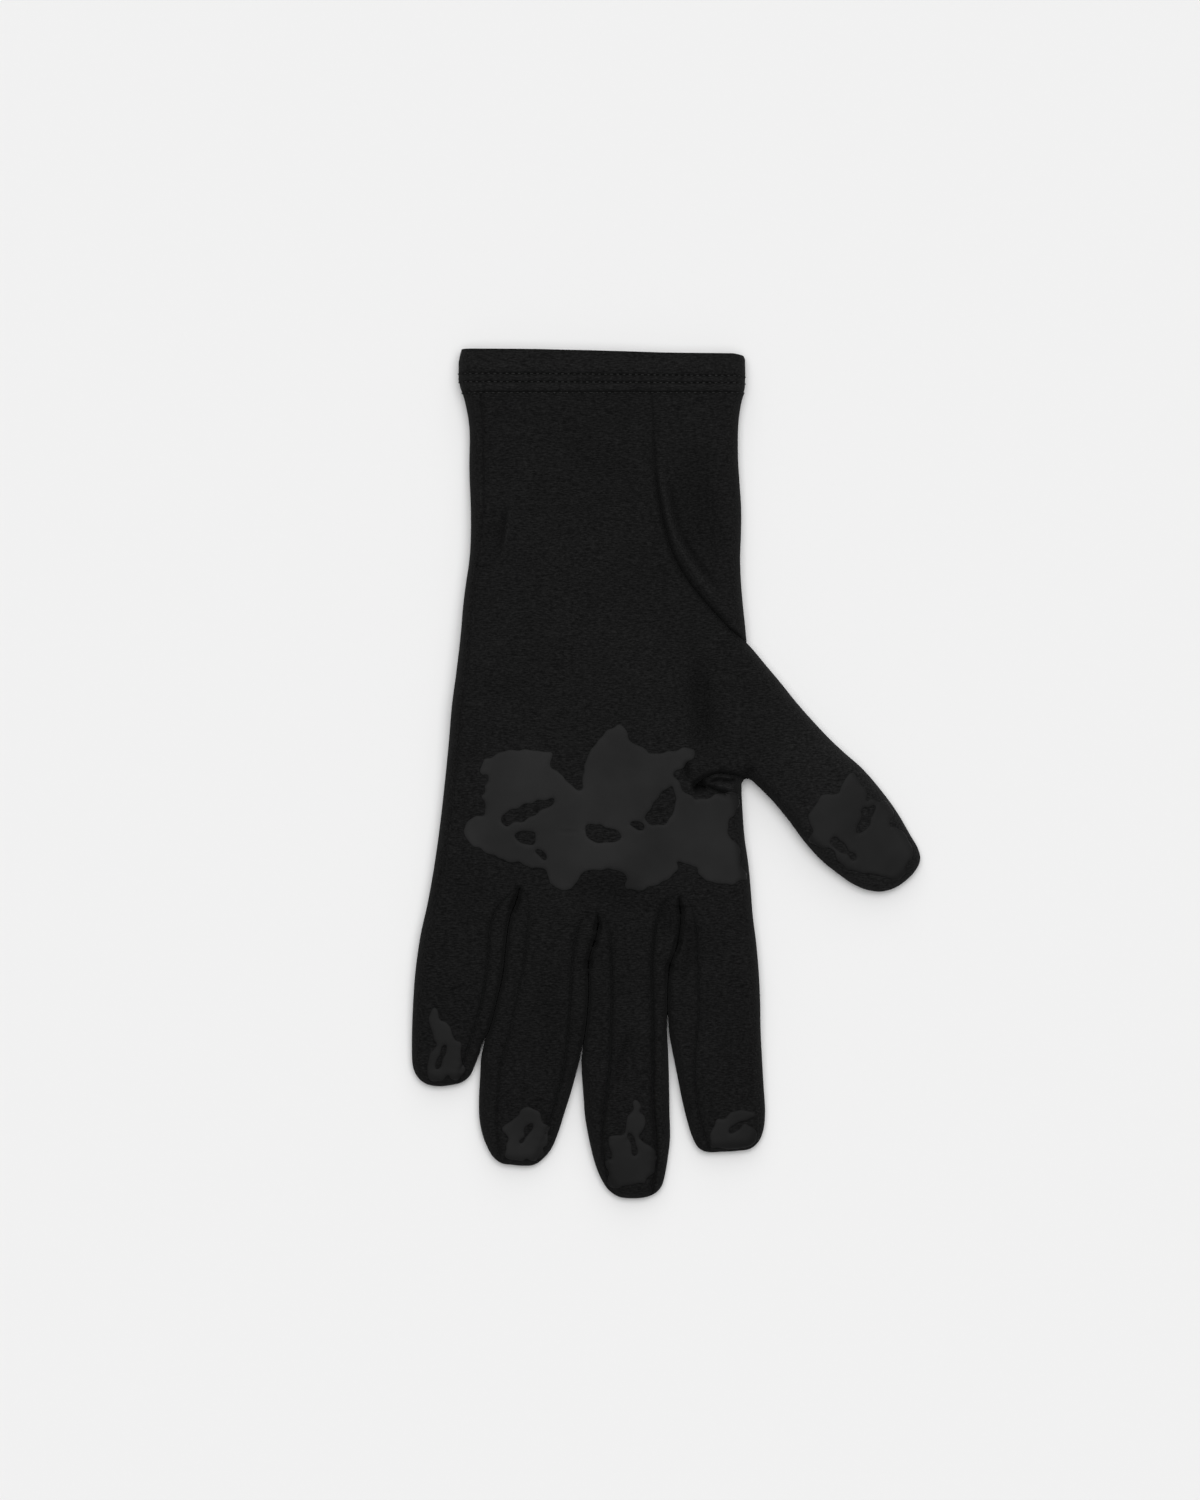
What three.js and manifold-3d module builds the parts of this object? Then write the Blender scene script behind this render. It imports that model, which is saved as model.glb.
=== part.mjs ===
// A left glove liner of black fleece-backed jersey, lying flat with its palm up.
// Millimetres, +Z up. The wrist opens towards +Y, the fingers point to -Y and the thumb to +X.
import * as THREE from "three";
import { mergeVertices } from "three/addons/utils/BufferGeometryUtils.js";
import Module from "manifold-3d";

const wasm = await Module();
wasm.setup();

// Driving dimensions of the hand, in millimetres.
const PALM_LENGTH = 101; // knuckle line to wrist
const CUFF_LENGTH = 56.7; // wrist to the hem's lower edge
const CUFF_WIDTH = 83.4;
const CUFF_OFFSET = 4.4; // the cuff sits this far to the thumb's side of the palm's middle
const PINKY = { length: 58.4, width: 28.1 };
const RING = { length: 83.1, width: 24.8 };
const MIDDLE = { length: 93.4, width: 25.6 };
const INDEX = { length: 79.1, width: 21.9 };
const THUMB = { length: 82, width: 29, angle: THREE.MathUtils.degToRad(-46) };
const THUMB_RISE = 64.5; // the thumb's root above the knuckle line
const THUMB_INSET = 8.2; // and inside the palm's thumb side

// How far each part of the glove stands up when it lies flat.
const PALM_THICKNESS = 12;
const FINGER_THICKNESS = 9.6;
const THUMB_THICKNESS = 11;
const CUFF_THICKNESS = 9.6;
const EDGE_ROUND = 5; // how far in from an edge the cloth has turned over
const CROWN = 0.14; // the share of its height that a section loses towards its edges

// Cloth, seams and print.
const WALL = 1.1;
const HEM_WALL = 2.2;
const HEM_DEPTH = 13.6;
const HEM_STAND = 0.9; // the hem stands proud of the cuff by this
const GAP = 0.3; // between two pieces that meet
const FINGER_GAP = 0.7; // between two fingers that lie side by side
const WEB_LAP = 0.8; // how far two fingers run into each other above their fork
const FOURCHETTE_SEAM = 5.6; // from a finger's edge in to the seam of the strip at its side
const FOURCHETTE_RUN = 12; // the strip comes to its full width this far below the fork
const STRIP_POINT = 2; // the strip's point lies this far above the fork
const STRIP_START = 1.5; // and its seams start this far below it
const STRIP_END = 0.9; // they reach their last place at this share of a finger's length
const SIDE_SEAM = 4.5; // from the cuff's edge in to the side seam
const SEAM_HEIGHT = 4.6; // the height of the seams that run along outer edges
const QUIRK = { length: 15.6, width: 7.6 }; // the small gusset in the thumb's fork
const PRINT_THICKNESS = 0.5;
const MOUTH_CUT = 1; // the hollow runs on past the cuff's and the hem's ends by this
const FORK_SECTIONS = { above: 1, below: 0.5 }; // a finger's sections next to its fork
const LEAST_SPACING = 0.4; // between a finger's sections
const MERGE = 1e-4; // corners closer than this are one
const FAR = 400; // further than any edge of the glove

// Colours and finish.
const CLOTH = { color: 0x19191b, roughness: 0.95, metalness: 0 };
const HEM_CLOTH = { color: 0x1c1c1e, roughness: 0.95, metalness: 0 };
const PRINT = { color: 0x26262a, roughness: 0.45, metalness: 0 };

// Lines between fingers, from the little finger's outer edge to the index finger's. Each row says
// how far to the side the line has gone at a depth below the knuckles, as shares of the width and
// the length of the finger that it follows. A fork lies at its share of that length.
const LINES = [
  {
    follows: PINKY,
    rows: [
      { down: 0, shift: 0 },
      { down: 0.18, shift: -0.083 },
      { down: 0.35, shift: -0.139 },
      { down: 0.55, shift: -0.172 },
      { down: 0.75, shift: -0.183 },
    ],
  },
  {
    follows: PINKY,
    fork: 0.01,
    rows: [
      { down: 0, shift: 0 },
      { down: 0.07, shift: -0.06 },
      { down: 0.16, shift: -0.11 },
      { down: 0.36, shift: -0.15 },
      { down: 0.56, shift: -0.228 },
      { down: 0.73, shift: -0.33 },
      { down: 0.8, shift: -0.395 },
      { down: 1, shift: -0.43 },
    ],
  },
  {
    follows: RING,
    fork: 0.11,
    rows: [
      { down: 0, shift: 0 },
      { down: 0.11, shift: -0.012 },
      { down: 0.18, shift: -0.07 },
      { down: 0.25, shift: -0.12 },
      { down: 0.4, shift: -0.127 },
      { down: 0.51, shift: -0.176 },
      { down: 0.61, shift: -0.208 },
    ],
  },
  {
    follows: INDEX,
    fork: 0.04,
    rows: [
      { down: 0, shift: 0 },
      { down: 0.09, shift: 0.014 },
      { down: 0.19, shift: -0.057 },
      { down: 0.27, shift: -0.15 },
      { down: 0.39, shift: -0.171 },
      { down: 0.5, shift: -0.186 },
    ],
  },
  {
    follows: INDEX,
    rows: [
      { down: 0, shift: 0 },
      { down: 0.1, shift: 0.029 },
      { down: 0.23, shift: 0.086 },
      { down: 0.36, shift: 0.129 },
      { down: 0.64, shift: 0.143 },
      { down: 0.77, shift: 0.186 },
      { down: 0.86, shift: 0.2 },
    ],
  },
];

// How each finger draws in from the lines on its two sides: the depth is a share of its length,
// left and right are shares of its width, and thick is a share of FINGER_THICKNESS.
const FINGERS = [
  {
    name: "pinky",
    size: PINKY,
    rows: [
      { down: -0.28, left: 0.06, right: 0.06, thick: 0.9 },
      { down: 0, left: 0, right: 0, thick: 1 },
      { down: 0.36, left: 0, right: 0, thick: 0.97 },
      { down: 0.72, left: 0, right: 0, thick: 0.92 },
      { down: 0.82, left: 0, right: 0.035, thick: 0.86 },
      { down: 0.91, left: 0.01, right: 0.09, thick: 0.76 },
      { down: 0.96, left: 0.07, right: 0.15, thick: 0.66 },
      { down: 0.995, left: 0.19, right: 0.3, thick: 0.5 },
    ],
  },
  {
    name: "ring",
    size: RING,
    rows: [
      { down: -0.2, left: 0.03, right: 0.03, thick: 0.9 },
      { down: 0, left: 0, right: 0, thick: 1 },
      { down: 0.4, left: 0, right: 0, thick: 0.98 },
      { down: 0.51, left: 0, right: 0, thick: 0.96 },
      { down: 0.61, left: 0, right: 0.045, thick: 0.95 },
      { down: 0.79, left: 0, right: 0.208, thick: 0.9 },
      { down: 0.88, left: 0.025, right: 0.3, thick: 0.84 },
      { down: 0.94, left: 0.11, right: 0.38, thick: 0.74 },
      { down: 0.97, left: 0.16, right: 0.47, thick: 0.65 },
      { down: 0.995, left: 0.3, right: 0.57, thick: 0.5 },
    ],
  },
  {
    name: "middle",
    size: MIDDLE,
    rows: [
      { down: -0.18, left: 0.03, right: 0.03, thick: 0.9 },
      { down: 0, left: 0, right: 0, thick: 1 },
      { down: 0.23, left: 0, right: 0, thick: 1 },
      { down: 0.46, left: 0, right: 0, thick: 0.97 },
      { down: 0.7, left: 0.03, right: 0, thick: 0.94 },
      { down: 0.81, left: 0.09, right: 0, thick: 0.88 },
      { down: 0.89, left: 0.165, right: 0.012, thick: 0.8 },
      { down: 0.945, left: 0.25, right: 0.06, thick: 0.7 },
      { down: 0.973, left: 0.33, right: 0.1, thick: 0.62 },
      { down: 0.995, left: 0.44, right: 0.22, thick: 0.5 },
    ],
  },
  {
    name: "index",
    size: INDEX,
    rows: [
      { down: -0.2, left: 0.05, right: 0.08, thick: 0.9 },
      { down: 0, left: 0, right: 0, thick: 1 },
      { down: 0.27, left: 0, right: 0, thick: 1 },
      { down: 0.51, left: 0, right: 0, thick: 0.97 },
      { down: 0.64, left: 0.1, right: 0, thick: 0.94 },
      { down: 0.86, left: 0.27, right: 0, thick: 0.86 },
      { down: 0.925, left: 0.33, right: 0.03, thick: 0.78 },
      { down: 0.96, left: 0.39, right: 0.09, thick: 0.68 },
      { down: 0.995, left: 0.5, right: 0.24, thick: 0.52 },
    ],
  },
];

// The thumb's sections: along is a share of its length, outer and inner are shares of its width on
// either side of its axis, and thick is a share of THUMB_THICKNESS.
const THUMB_ROWS = [
  { along: -0.24, outer: 0.4, inner: 0.4, thick: 0.85 },
  { along: -0.08, outer: 0.52, inner: 0.46, thick: 0.95 },
  { along: 0.06, outer: 0.52, inner: 0.47, thick: 1 },
  { along: 0.285, outer: 0.473, inner: 0.47, thick: 1 },
  { along: 0.46, outer: 0.478, inner: 0.441, thick: 1 },
  { along: 0.63, outer: 0.5, inner: 0.5, thick: 0.98 },
  { along: 0.7, outer: 0.488, inner: 0.505, thick: 0.96 },
  { along: 0.79, outer: 0.445, inner: 0.483, thick: 0.91 },
  { along: 0.88, outer: 0.37, inner: 0.424, thick: 0.82 },
  { along: 0.945, outer: 0.323, inner: 0.32, thick: 0.7 },
  { along: 0.972, outer: 0.29, inner: 0.24, thick: 0.6 },
  { along: 0.995, outer: 0.16, inner: 0.08, thick: 0.5 },
];

// The palm's sections, from the knuckles up: left and right are shares of its width about its
// middle, and thick is a share of PALM_THICKNESS.
const PALM_ROWS = [
  { up: 0, left: -0.5, right: 0.5, thick: 0.82 },
  { up: 0.09, left: -0.486, right: 0.495, thick: 0.88 },
  { up: 0.27, left: -0.461, right: 0.472, thick: 0.98 },
  { up: 0.375, left: -0.449, right: 0.481, thick: 1 },
  { up: 0.61, left: -0.427, right: 0.484, thick: 1 },
  { up: 0.78, left: -0.404, right: 0.481, thick: 0.96 },
  { up: 0.89, left: -0.393, right: 0.475, thick: 0.9 },
];

// The cuff's sections, from the wrist up: shares of CUFF_WIDTH about its own middle, and of
// CUFF_THICKNESS.
const CUFF_ROWS = [
  { up: 0, left: -0.508, right: 0.511, thick: 1.06 },
  { up: 0.16, left: -0.5, right: 0.511, thick: 1 },
  { up: 0.39, left: -0.504, right: 0.511, thick: 0.98 },
  { up: 0.69, left: -0.5, right: 0.5, thick: 0.96 },
  { up: 0.88, left: -0.508, right: 0.504, thick: 0.98 },
  { up: 1, left: -0.53, right: 0.522, thick: 1 },
];

// The hem's sections, up its depth: out is a share of HEM_STAND.
const HEM_ROWS = [
  { up: 0, out: 0.2 },
  { up: 0.2, out: 0.8 },
  { up: 0.6, out: 1 },
  { up: 0.9, out: 0.7 },
  { up: 1, out: 0 },
];

// How far in from the left edge the side seam runs, as a share of SIDE_SEAM, from the cuff down to
// the little finger, where it meets the edge. Up is a share of the hand's length above the knuckles.
const SIDE_SEAM_ROWS = [
  { up: 1.2, inset: 1 },
  { up: 0.7, inset: 1.05 },
  { up: 0.64, inset: 0.75 },
  { up: 0.5, inset: 0.6 },
  { up: 0.06, inset: 0.6 },
  { up: 0, inset: 0.2 },
  { up: -0.06, inset: -1 },
];

// How far in from the right edge the thumb's seam runs, as a share of CUFF_WIDTH.
const THUMB_SEAM_ROWS = [
  { up: 1.2, inset: 0.33 },
  { up: 0.85, inset: 0.318 },
  { up: 0.79, inset: 0.303 },
  { up: 0.73, inset: 0.28 },
  { up: 0.685, inset: 0.255 },
  { up: 0.64, inset: 0.206 },
  { up: 0.6, inset: 0.15 },
  { up: 0.565, inset: 0.094 },
  { up: 0.533, inset: 0.041 },
  { up: 0.5, inset: 0 },
  { up: 0.47, inset: -0.06 },
];

// The thumb gusset's outline about the fork: shares of the gusset's length and width, as its middle is.
const QUIRK_MIDDLE = { x: -0.3, y: -0.3 };
const QUIRK_ROWS = [
  { x: -1, y: -0.38 },
  { x: -0.76, y: 0 },
  { x: -0.44, y: 0.18 },
  { x: -0.12, y: 0.16 },
  { x: 0.5, y: 0.5 },
  { x: 0.5, y: -1.2 },
  { x: -0.12, y: -0.86 },
  { x: -0.42, y: -0.68 },
  { x: -0.7, y: -0.44 },
];

// The prints are generic camouflage: wavy ovals that run together, with others cut out of them. On
// the palm x is a share of its width from its middle, y a share of PALM_LENGTH above the knuckles,
// and an oval's half axes are shares of the palm's width. It is turned by so many degrees.
const PALM_PRINT = {
  lobes: [
    { x: -0.147, y: 0.306, length: 0.205, width: 0.103, turn: -14 },
    { x: 0.134, y: 0.349, length: 0.181, width: 0.115, turn: -28 },
    { x: 0.028, y: 0.176, length: 0.212, width: 0.087, turn: -10 },
    { x: 0.32, y: 0.201, length: 0.156, width: 0.096, turn: -34 },
    { x: -0.308, y: 0.213, length: 0.087, width: 0.05, turn: 12 },
    { x: -0.231, y: 0.417, length: 0.106, width: 0.044, turn: 12 },
    { x: 0.071, y: 0.467, length: 0.053, width: 0.068, turn: -38 },
    { x: 0.239, y: 0.417, length: 0.093, width: 0.04, turn: 24 },
    { x: 0.395, y: 0.269, length: 0.081, width: 0.056, turn: 38 },
    { x: -0.24, y: 0.151, length: 0.106, width: 0.037, turn: -24 },
    { x: -0.072, y: 0.083, length: 0.062, width: 0.05, turn: 30 },
    { x: 0.183, y: 0.077, length: 0.087, width: 0.044, turn: 10 },
    { x: 0.407, y: 0.096, length: 0.075, width: 0.05, turn: -20 },
  ],
  bays: [
    { x: -0.066, y: 0.399, length: 0.068, width: 0.028, turn: -54 },
    { x: -0.196, y: 0.269, length: 0.081, width: 0.022, turn: 22 },
    { x: 0.227, y: 0.281, length: 0.034, width: 0.068, turn: -34 },
    { x: 0.04, y: 0.201, length: 0.059, width: 0.025, turn: -10 },
    { x: 0.355, y: 0.331, length: 0.019, width: 0.037, turn: -40 },
  ],
};

// The thumb's print lies about a middle at a share of its length. Places along it from there and
// outwards, and half axes, are shares of its width. An oval is turned from the thumb's own line.
const THUMB_PRINT = {
  middle: 0.75,
  lobes: [
    { along: -0.26, out: -0.082, length: 0.356, width: 0.216, turn: 8 },
    { along: 0.167, out: -0.044, length: 0.377, width: 0.291, turn: 16 },
    { along: -0.365, out: 0.198, length: 0.151, width: 0.237, turn: 32 },
    { along: 0.348, out: 0.112, length: 0.205, width: 0.302, turn: 70 },
    { along: -0.24, out: -0.31, length: 0.172, width: 0.108, turn: 16 },
    { along: -0.008, out: 0.304, length: 0.129, width: 0.172, turn: 66 },
  ],
  bays: [
    { along: -0.065, out: 0.12, length: 0.054, width: 0.162, turn: 16 },
    { along: -0.028, out: -0.245, length: 0.151, width: 0.043, turn: 6 },
  ],
};

// A finger's print lies about a middle at a share of its length. Along is towards the tip from
// there and across from the finger's own middle line: both, and half axes, are shares of its width.
const TIP_PRINTS = {
  pinky: {
    middle: 0.82,
    lobes: [
      { along: -0.245, across: -0.119, length: 0.1, width: 0.222, turn: 12 },
      { along: -0.002, across: 0.033, length: 0.133, width: 0.178, turn: -25 },
      { along: 0.154, across: -0.067, length: 0.133, width: 0.145, turn: 0 },
      { along: 0.187, across: 0.122, length: 0.1, width: 0.122, turn: 20 },
    ],
    bays: [{ along: 0.044, across: -0.04, length: 0.033, width: 0.089, turn: -20 }],
  },
  ring: {
    middle: 0.89,
    lobes: [
      { along: -0.208, across: 0.126, length: 0.202, width: 0.126, turn: -32 },
      { along: -0.044, across: -0.025, length: 0.176, width: 0.164, turn: 30 },
      { along: 0.057, across: 0.202, length: 0.151, width: 0.189, turn: 10 },
      { along: 0.181, across: 0.019, length: 0.227, width: 0.113, turn: -8 },
    ],
    bays: [{ along: -0.007, across: 0.076, length: 0.038, width: 0.101, turn: -30 }],
  },
  middle: {
    middle: 0.85,
    lobes: [
      { along: -0.354, across: 0.073, length: 0.11, width: 0.256, turn: -14 },
      { along: -0.062, across: -0.073, length: 0.195, width: 0.195, turn: 20 },
      { along: 0.088, across: 0.122, length: 0.183, width: 0.232, turn: 24 },
      { along: 0.255, across: -0.122, length: 0.22, width: 0.146, turn: -12 },
    ],
    bays: [{ along: -0.109, across: 0.043, length: 0.037, width: 0.11, turn: 12 }],
  },
  index: {
    middle: 0.92,
    lobes: [
      { along: -0.181, across: 0.176, length: 0.228, width: 0.128, turn: 24 },
      { along: 0.004, across: -0.043, length: 0.228, width: 0.171, turn: -12 },
      { along: 0.033, across: 0.243, length: 0.171, width: 0.171, turn: 0 },
      { along: 0.144, across: 0.093, length: 0.257, width: 0.086, turn: 0 },
    ],
    bays: [{ along: -0.083, across: 0.119, length: 0.1, width: 0.043, turn: 30 }],
  },
};
const OVAL_WAVE = 0.12; // how far an oval's edge waves in and out, as a share of its radius
const OVAL_WAVES = 3;
const OVAL_STEP = 6; // between the points round an oval, in millimetres
const LEAST_POINTS = 6; // round the smallest ovals

// A section's ring has this many steps over each turned edge and over its upper side.
const ARC_STEPS = 3;
const MOST_ROUND = 0.48; // the turned edges take up to this share of a section's width each
const TOP_STEPS = 3;
const SEAM_STEPS = 4; // points along each seam of a strip between fingers
const FORK_SEARCH = { range: [0, 0.6], steps: 30 }; // halvings of a share of the thumb's length

// Sizes worked out from those above.
const PALM_WIDTH = PINKY.width + RING.width + MIDDLE.width + INDEX.width;
const HAND_LENGTH = PALM_LENGTH + CUFF_LENGTH;
const THUMB_AXIS = new THREE.Vector3(Math.cos(THUMB.angle), Math.sin(THUMB.angle), 0);
const THUMB_OUTWARD = new THREE.Vector3(-THUMB_AXIS.y, THUMB_AXIS.x, 0);
const THUMB_ROOT = new THREE.Vector3(PALM_WIDTH / 2 - THUMB_INSET, THUMB_RISE, 0);

// The value in a column of a table at a place between its rows.
function lookUp(rows, key, place, column) {
  const sorted = [...rows].sort((a, b) => a[key] - b[key]);
  const next = sorted.findIndex((row) => row[key] >= place);
  if (next === 0) return sorted[0][column];
  if (next < 0) return sorted.at(-1)[column];
  const [low, high] = [sorted[next - 1], sorted[next]];
  const share = (place - low[key]) / (high[key] - low[key]);
  return THREE.MathUtils.lerp(low[column], high[column], share);
}

// Where the line between two fingers is at a depth below the knuckles.
function lineX(index, depth) {
  const line = LINES[index];
  const start = -PALM_WIDTH / 2 + FINGERS.slice(0, index).reduce((sum, f) => sum + f.size.width, 0);
  const shift = lookUp(line.rows, "down", depth / line.follows.length, "shift");
  return start + shift * line.follows.width;
}

function forkDepth(index) {
  return LINES[index].fork * LINES[index].follows.length;
}

// A finger's edge stands back from its line by half the gap, and laps over it above the fork.
function edgeInset(index, depth) {
  if (LINES[index].fork === undefined) return 0;
  return depth < forkDepth(index) ? -WEB_LAP : FINGER_GAP / 2;
}

function fingerEdges(finger, depth) {
  const index = FINGERS.indexOf(finger);
  const share = depth / finger.size.length;
  const left = lookUp(finger.rows, "down", share, "left") * finger.size.width;
  const right = lookUp(finger.rows, "down", share, "right") * finger.size.width;
  return {
    left: lineX(index, depth) + edgeInset(index, depth) + left,
    right: lineX(index + 1, depth) - edgeInset(index + 1, depth) - right,
  };
}

// The palm's and the cuff's edges at a height above the knuckles.
function bodyRows() {
  const palm = PALM_ROWS.map((row) => ({
    y: row.up * PALM_LENGTH,
    left: row.left * PALM_WIDTH,
    right: row.right * PALM_WIDTH,
    thick: row.thick * PALM_THICKNESS,
  }));
  const cuff = CUFF_ROWS.map((row) => ({
    y: PALM_LENGTH + row.up * (CUFF_LENGTH - GAP / 2),
    left: CUFF_OFFSET + row.left * CUFF_WIDTH,
    right: CUFF_OFFSET + row.right * CUFF_WIDTH,
    thick: row.thick * CUFF_THICKNESS,
  }));
  return [...palm, ...cuff];
}
const BODY_ROWS = bodyRows();

function bodyEdge(y, side) {
  return lookUp(BODY_ROWS, "y", y, side);
}

// A cross-section stands on the floor at its middle, and runs from left to right along across.
function section(middle, across, left, right, thick) {
  return { middle, across, left, right, thick };
}

// A ring round a section, drawn in by inset on every side. The underside is flat and the upper side
// is crowned between its two turned edges.
function ringOf({ middle, across, left, right, thick }, inset) {
  const low = left + inset;
  const high = right - inset;
  const round = Math.min(EDGE_ROUND - inset, (high - low) * MOST_ROUND);
  const half = thick / 2 - inset;
  const centre = (left + right) / 2;
  const halfWidth = (right - left) / 2;
  const points = [];
  const add = (side, rise) => {
    const fall = rise > 0 ? 1 - CROWN * ((side - centre) / halfWidth) ** 2 : 1;
    const height = thick / 2 + half * rise * fall;
    points.push(middle.clone().addScaledVector(across, side).setZ(height));
  };
  for (let i = 0; i <= ARC_STEPS; i++) {
    const turn = (i / ARC_STEPS) * (Math.PI / 2);
    add(high - round + round * Math.cos(turn), Math.sin(turn));
  }
  for (let i = 1; i < TOP_STEPS; i++)
    add(THREE.MathUtils.lerp(high - round, low + round, i / TOP_STEPS), 1);
  for (let i = 0; i <= 2 * ARC_STEPS; i++) {
    const turn = Math.PI / 2 + (i / ARC_STEPS) * (Math.PI / 2);
    add(low + round + round * Math.cos(turn), Math.sin(turn));
  }
  for (let i = 0; i < ARC_STEPS; i++) {
    const turn = 1.5 * Math.PI + (i / ARC_STEPS) * (Math.PI / 2);
    add(high - round + round * Math.cos(turn), Math.sin(turn));
  }
  return points;
}

// A closed skin through rings of equal length, each capped from its own middle.
function loftOf(rings) {
  const size = rings[0].length;
  const points = rings.flat();
  const faces = [];
  for (let r = 0; r + 1 < rings.length; r++)
    for (let i = 0; i < size; i++) {
      const j = (i + 1) % size;
      const [a, b] = [r * size + i, r * size + j];
      faces.push(a, b, a + size, b, b + size, a + size);
    }
  for (const [ring, start, turned] of [
    [rings[0], 0, true],
    [rings.at(-1), (rings.length - 1) * size, false],
  ]) {
    const hub = points.length;
    points.push(ring.reduce((sum, p) => sum.add(p), new THREE.Vector3()).divideScalar(size));
    for (let i = 0; i < size; i++) {
      const [a, b] = [start + i, start + ((i + 1) % size)];
      faces.push(...(turned ? [hub, b, a] : [hub, a, b]));
    }
  }
  return new THREE.BufferGeometry().setFromPoints(points).setIndex(faces);
}

function solidOf(geometry) {
  const bare = geometry.clone();
  bare.deleteAttribute("normal");
  bare.deleteAttribute("uv");
  const merged = mergeVertices(bare, MERGE);
  const mesh = new wasm.Mesh({
    numProp: 3,
    vertProperties: new Float32Array(merged.attributes.position.array),
    triVerts: new Uint32Array(merged.index.array),
  });
  const solid = new wasm.Manifold(mesh);
  if (solid.volume() > 0) return solid;
  mesh.triVerts.reverse();
  return new wasm.Manifold(mesh);
}

function geometryOf(solid) {
  const mesh = solid.getMesh();
  const geometry = new THREE.BufferGeometry();
  geometry.setAttribute("position", new THREE.BufferAttribute(mesh.vertProperties, 3));
  geometry.setIndex(new THREE.BufferAttribute(mesh.triVerts, 1));
  geometry.computeVertexNormals();
  return geometry;
}

function tube(sections, inset) {
  return solidOf(loftOf(sections.map((each) => ringOf(each, inset))));
}

const joined = (solids) => solids.reduce((all, solid) => all.add(solid));

// An upright prism over an outline, given as points.
function prism(outline, low, high) {
  const shape = new THREE.Shape(outline);
  const extruded = new THREE.ExtrudeGeometry(shape, { depth: high - low, bevelEnabled: false });
  return solidOf(extruded.translate(0, 0, low));
}

const X_AXIS = new THREE.Vector3(1, 0, 0);

function bodySections() {
  return BODY_ROWS.map((row) => {
    return section(new THREE.Vector3(0, row.y, 0), X_AXIS, row.left, row.right, row.thick);
  });
}

// A finger has a section at each row of its table, and one just above and below each fork.
function fingerSections(finger, inset) {
  const index = FINGERS.indexOf(finger);
  const depths = finger.rows.map((row) => row.down * finger.size.length);
  for (const line of [index, index + 1]) {
    if (LINES[line].fork === undefined) continue;
    depths.push(forkDepth(line) - FORK_SECTIONS.above, forkDepth(line) + FORK_SECTIONS.below);
  }
  depths.sort((a, b) => a - b);
  const apart = depths.filter((depth, i) => i === 0 || depth - depths[i - 1] > LEAST_SPACING);
  return apart.map((depth) => {
    const { left, right } = fingerEdges(finger, depth);
    const thick = lookUp(finger.rows, "down", depth / finger.size.length, "thick");
    const end = finger.size.length - inset;
    const middle = new THREE.Vector3(0, -Math.min(depth, end), 0);
    return section(middle, X_AXIS, left, right, thick * FINGER_THICKNESS);
  });
}

function thumbPoint(along, outward) {
  const point = THUMB_ROOT.clone().addScaledVector(THUMB_AXIS, along * THUMB.length);
  return point.addScaledVector(THUMB_OUTWARD, outward * THUMB.width);
}

function thumbSections(inset) {
  const end = 1 - inset / THUMB.length;
  return THUMB_ROWS.map((row) => {
    const middle = thumbPoint(Math.min(row.along, end), 0);
    const [left, right] = [-row.inner * THUMB.width, row.outer * THUMB.width];
    return section(middle, THUMB_OUTWARD, left, right, row.thick * THUMB_THICKNESS);
  });
}

// The whole glove as one solid, drawn in by inset on every side, or swollen where it is negative.
function gloveSolid(inset) {
  const body = bodySections();
  body[0].middle.y += inset;
  const mouth = body.at(-1);
  if (inset > 0) body.push({ ...mouth, middle: mouth.middle.clone().setY(HAND_LENGTH + MOUTH_CUT) });
  return joined([
    tube(body, inset),
    ...FINGERS.map((finger) => tube(fingerSections(finger, inset), inset)),
    tube(thumbSections(inset), inset),
  ]);
}

// Plan points of a seam that runs at an inset from one of the body's edges.
function bodySeam(rows, side, unit, shift) {
  const inward = side === "left" ? 1 : -1;
  return rows.map(({ up, inset }) => {
    const y = up * HAND_LENGTH;
    const x = bodyEdge(Math.max(y, 0), side) + inward * (inset * unit + shift);
    return new THREE.Vector2(x, y);
  });
}

// The palm side: everything between the side seam and the thumb's seam, above the edge seams.
// Grown by a positive amount, it takes the gap beyond its own seams too.
function palmRegion(grown) {
  const side = bodySeam(SIDE_SEAM_ROWS, "left", SIDE_SEAM, -grown);
  const thumb = bodySeam(THUMB_SEAM_ROWS, "right", CUFF_WIDTH, -grown);
  const outline = [
    ...side,
    new THREE.Vector2(-FAR, side.at(-1).y),
    new THREE.Vector2(-FAR, -FAR),
    new THREE.Vector2(FAR, -FAR),
    new THREE.Vector2(FAR, thumb.at(-1).y),
    ...thumb.reverse(),
  ];
  return prism(outline, SEAM_HEIGHT - grown, FAR);
}

// The strip between two fingers, from its point at the fork to beyond both finger ends.
function fourchetteRegion(index, grown) {
  const fork = forkDepth(index);
  const [before, after] = [FINGERS[index - 1], FINGERS[index]];
  const seam = (finger, side) => {
    const end = finger.size.length * STRIP_END;
    const inward = side === "left" ? 1 : -1;
    const points = [];
    for (let i = 0; i <= SEAM_STEPS; i++) {
      const depth = THREE.MathUtils.lerp(fork + STRIP_START, end, i / SEAM_STEPS);
      const spread = Math.min((depth - fork) / FOURCHETTE_RUN, 1);
      const edge = fingerEdges(finger, depth)[side];
      points.push(new THREE.Vector2(edge + inward * (FOURCHETTE_SEAM * spread + grown), -depth));
    }
    points.push(new THREE.Vector2(points.at(-1).x, -FAR));
    return points;
  };
  const apex = new THREE.Vector2(lineX(index, fork), STRIP_POINT + grown - fork);
  return prism([apex, ...seam(before, "right"), ...seam(after, "left").reverse()], -FAR, FAR);
}

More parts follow.
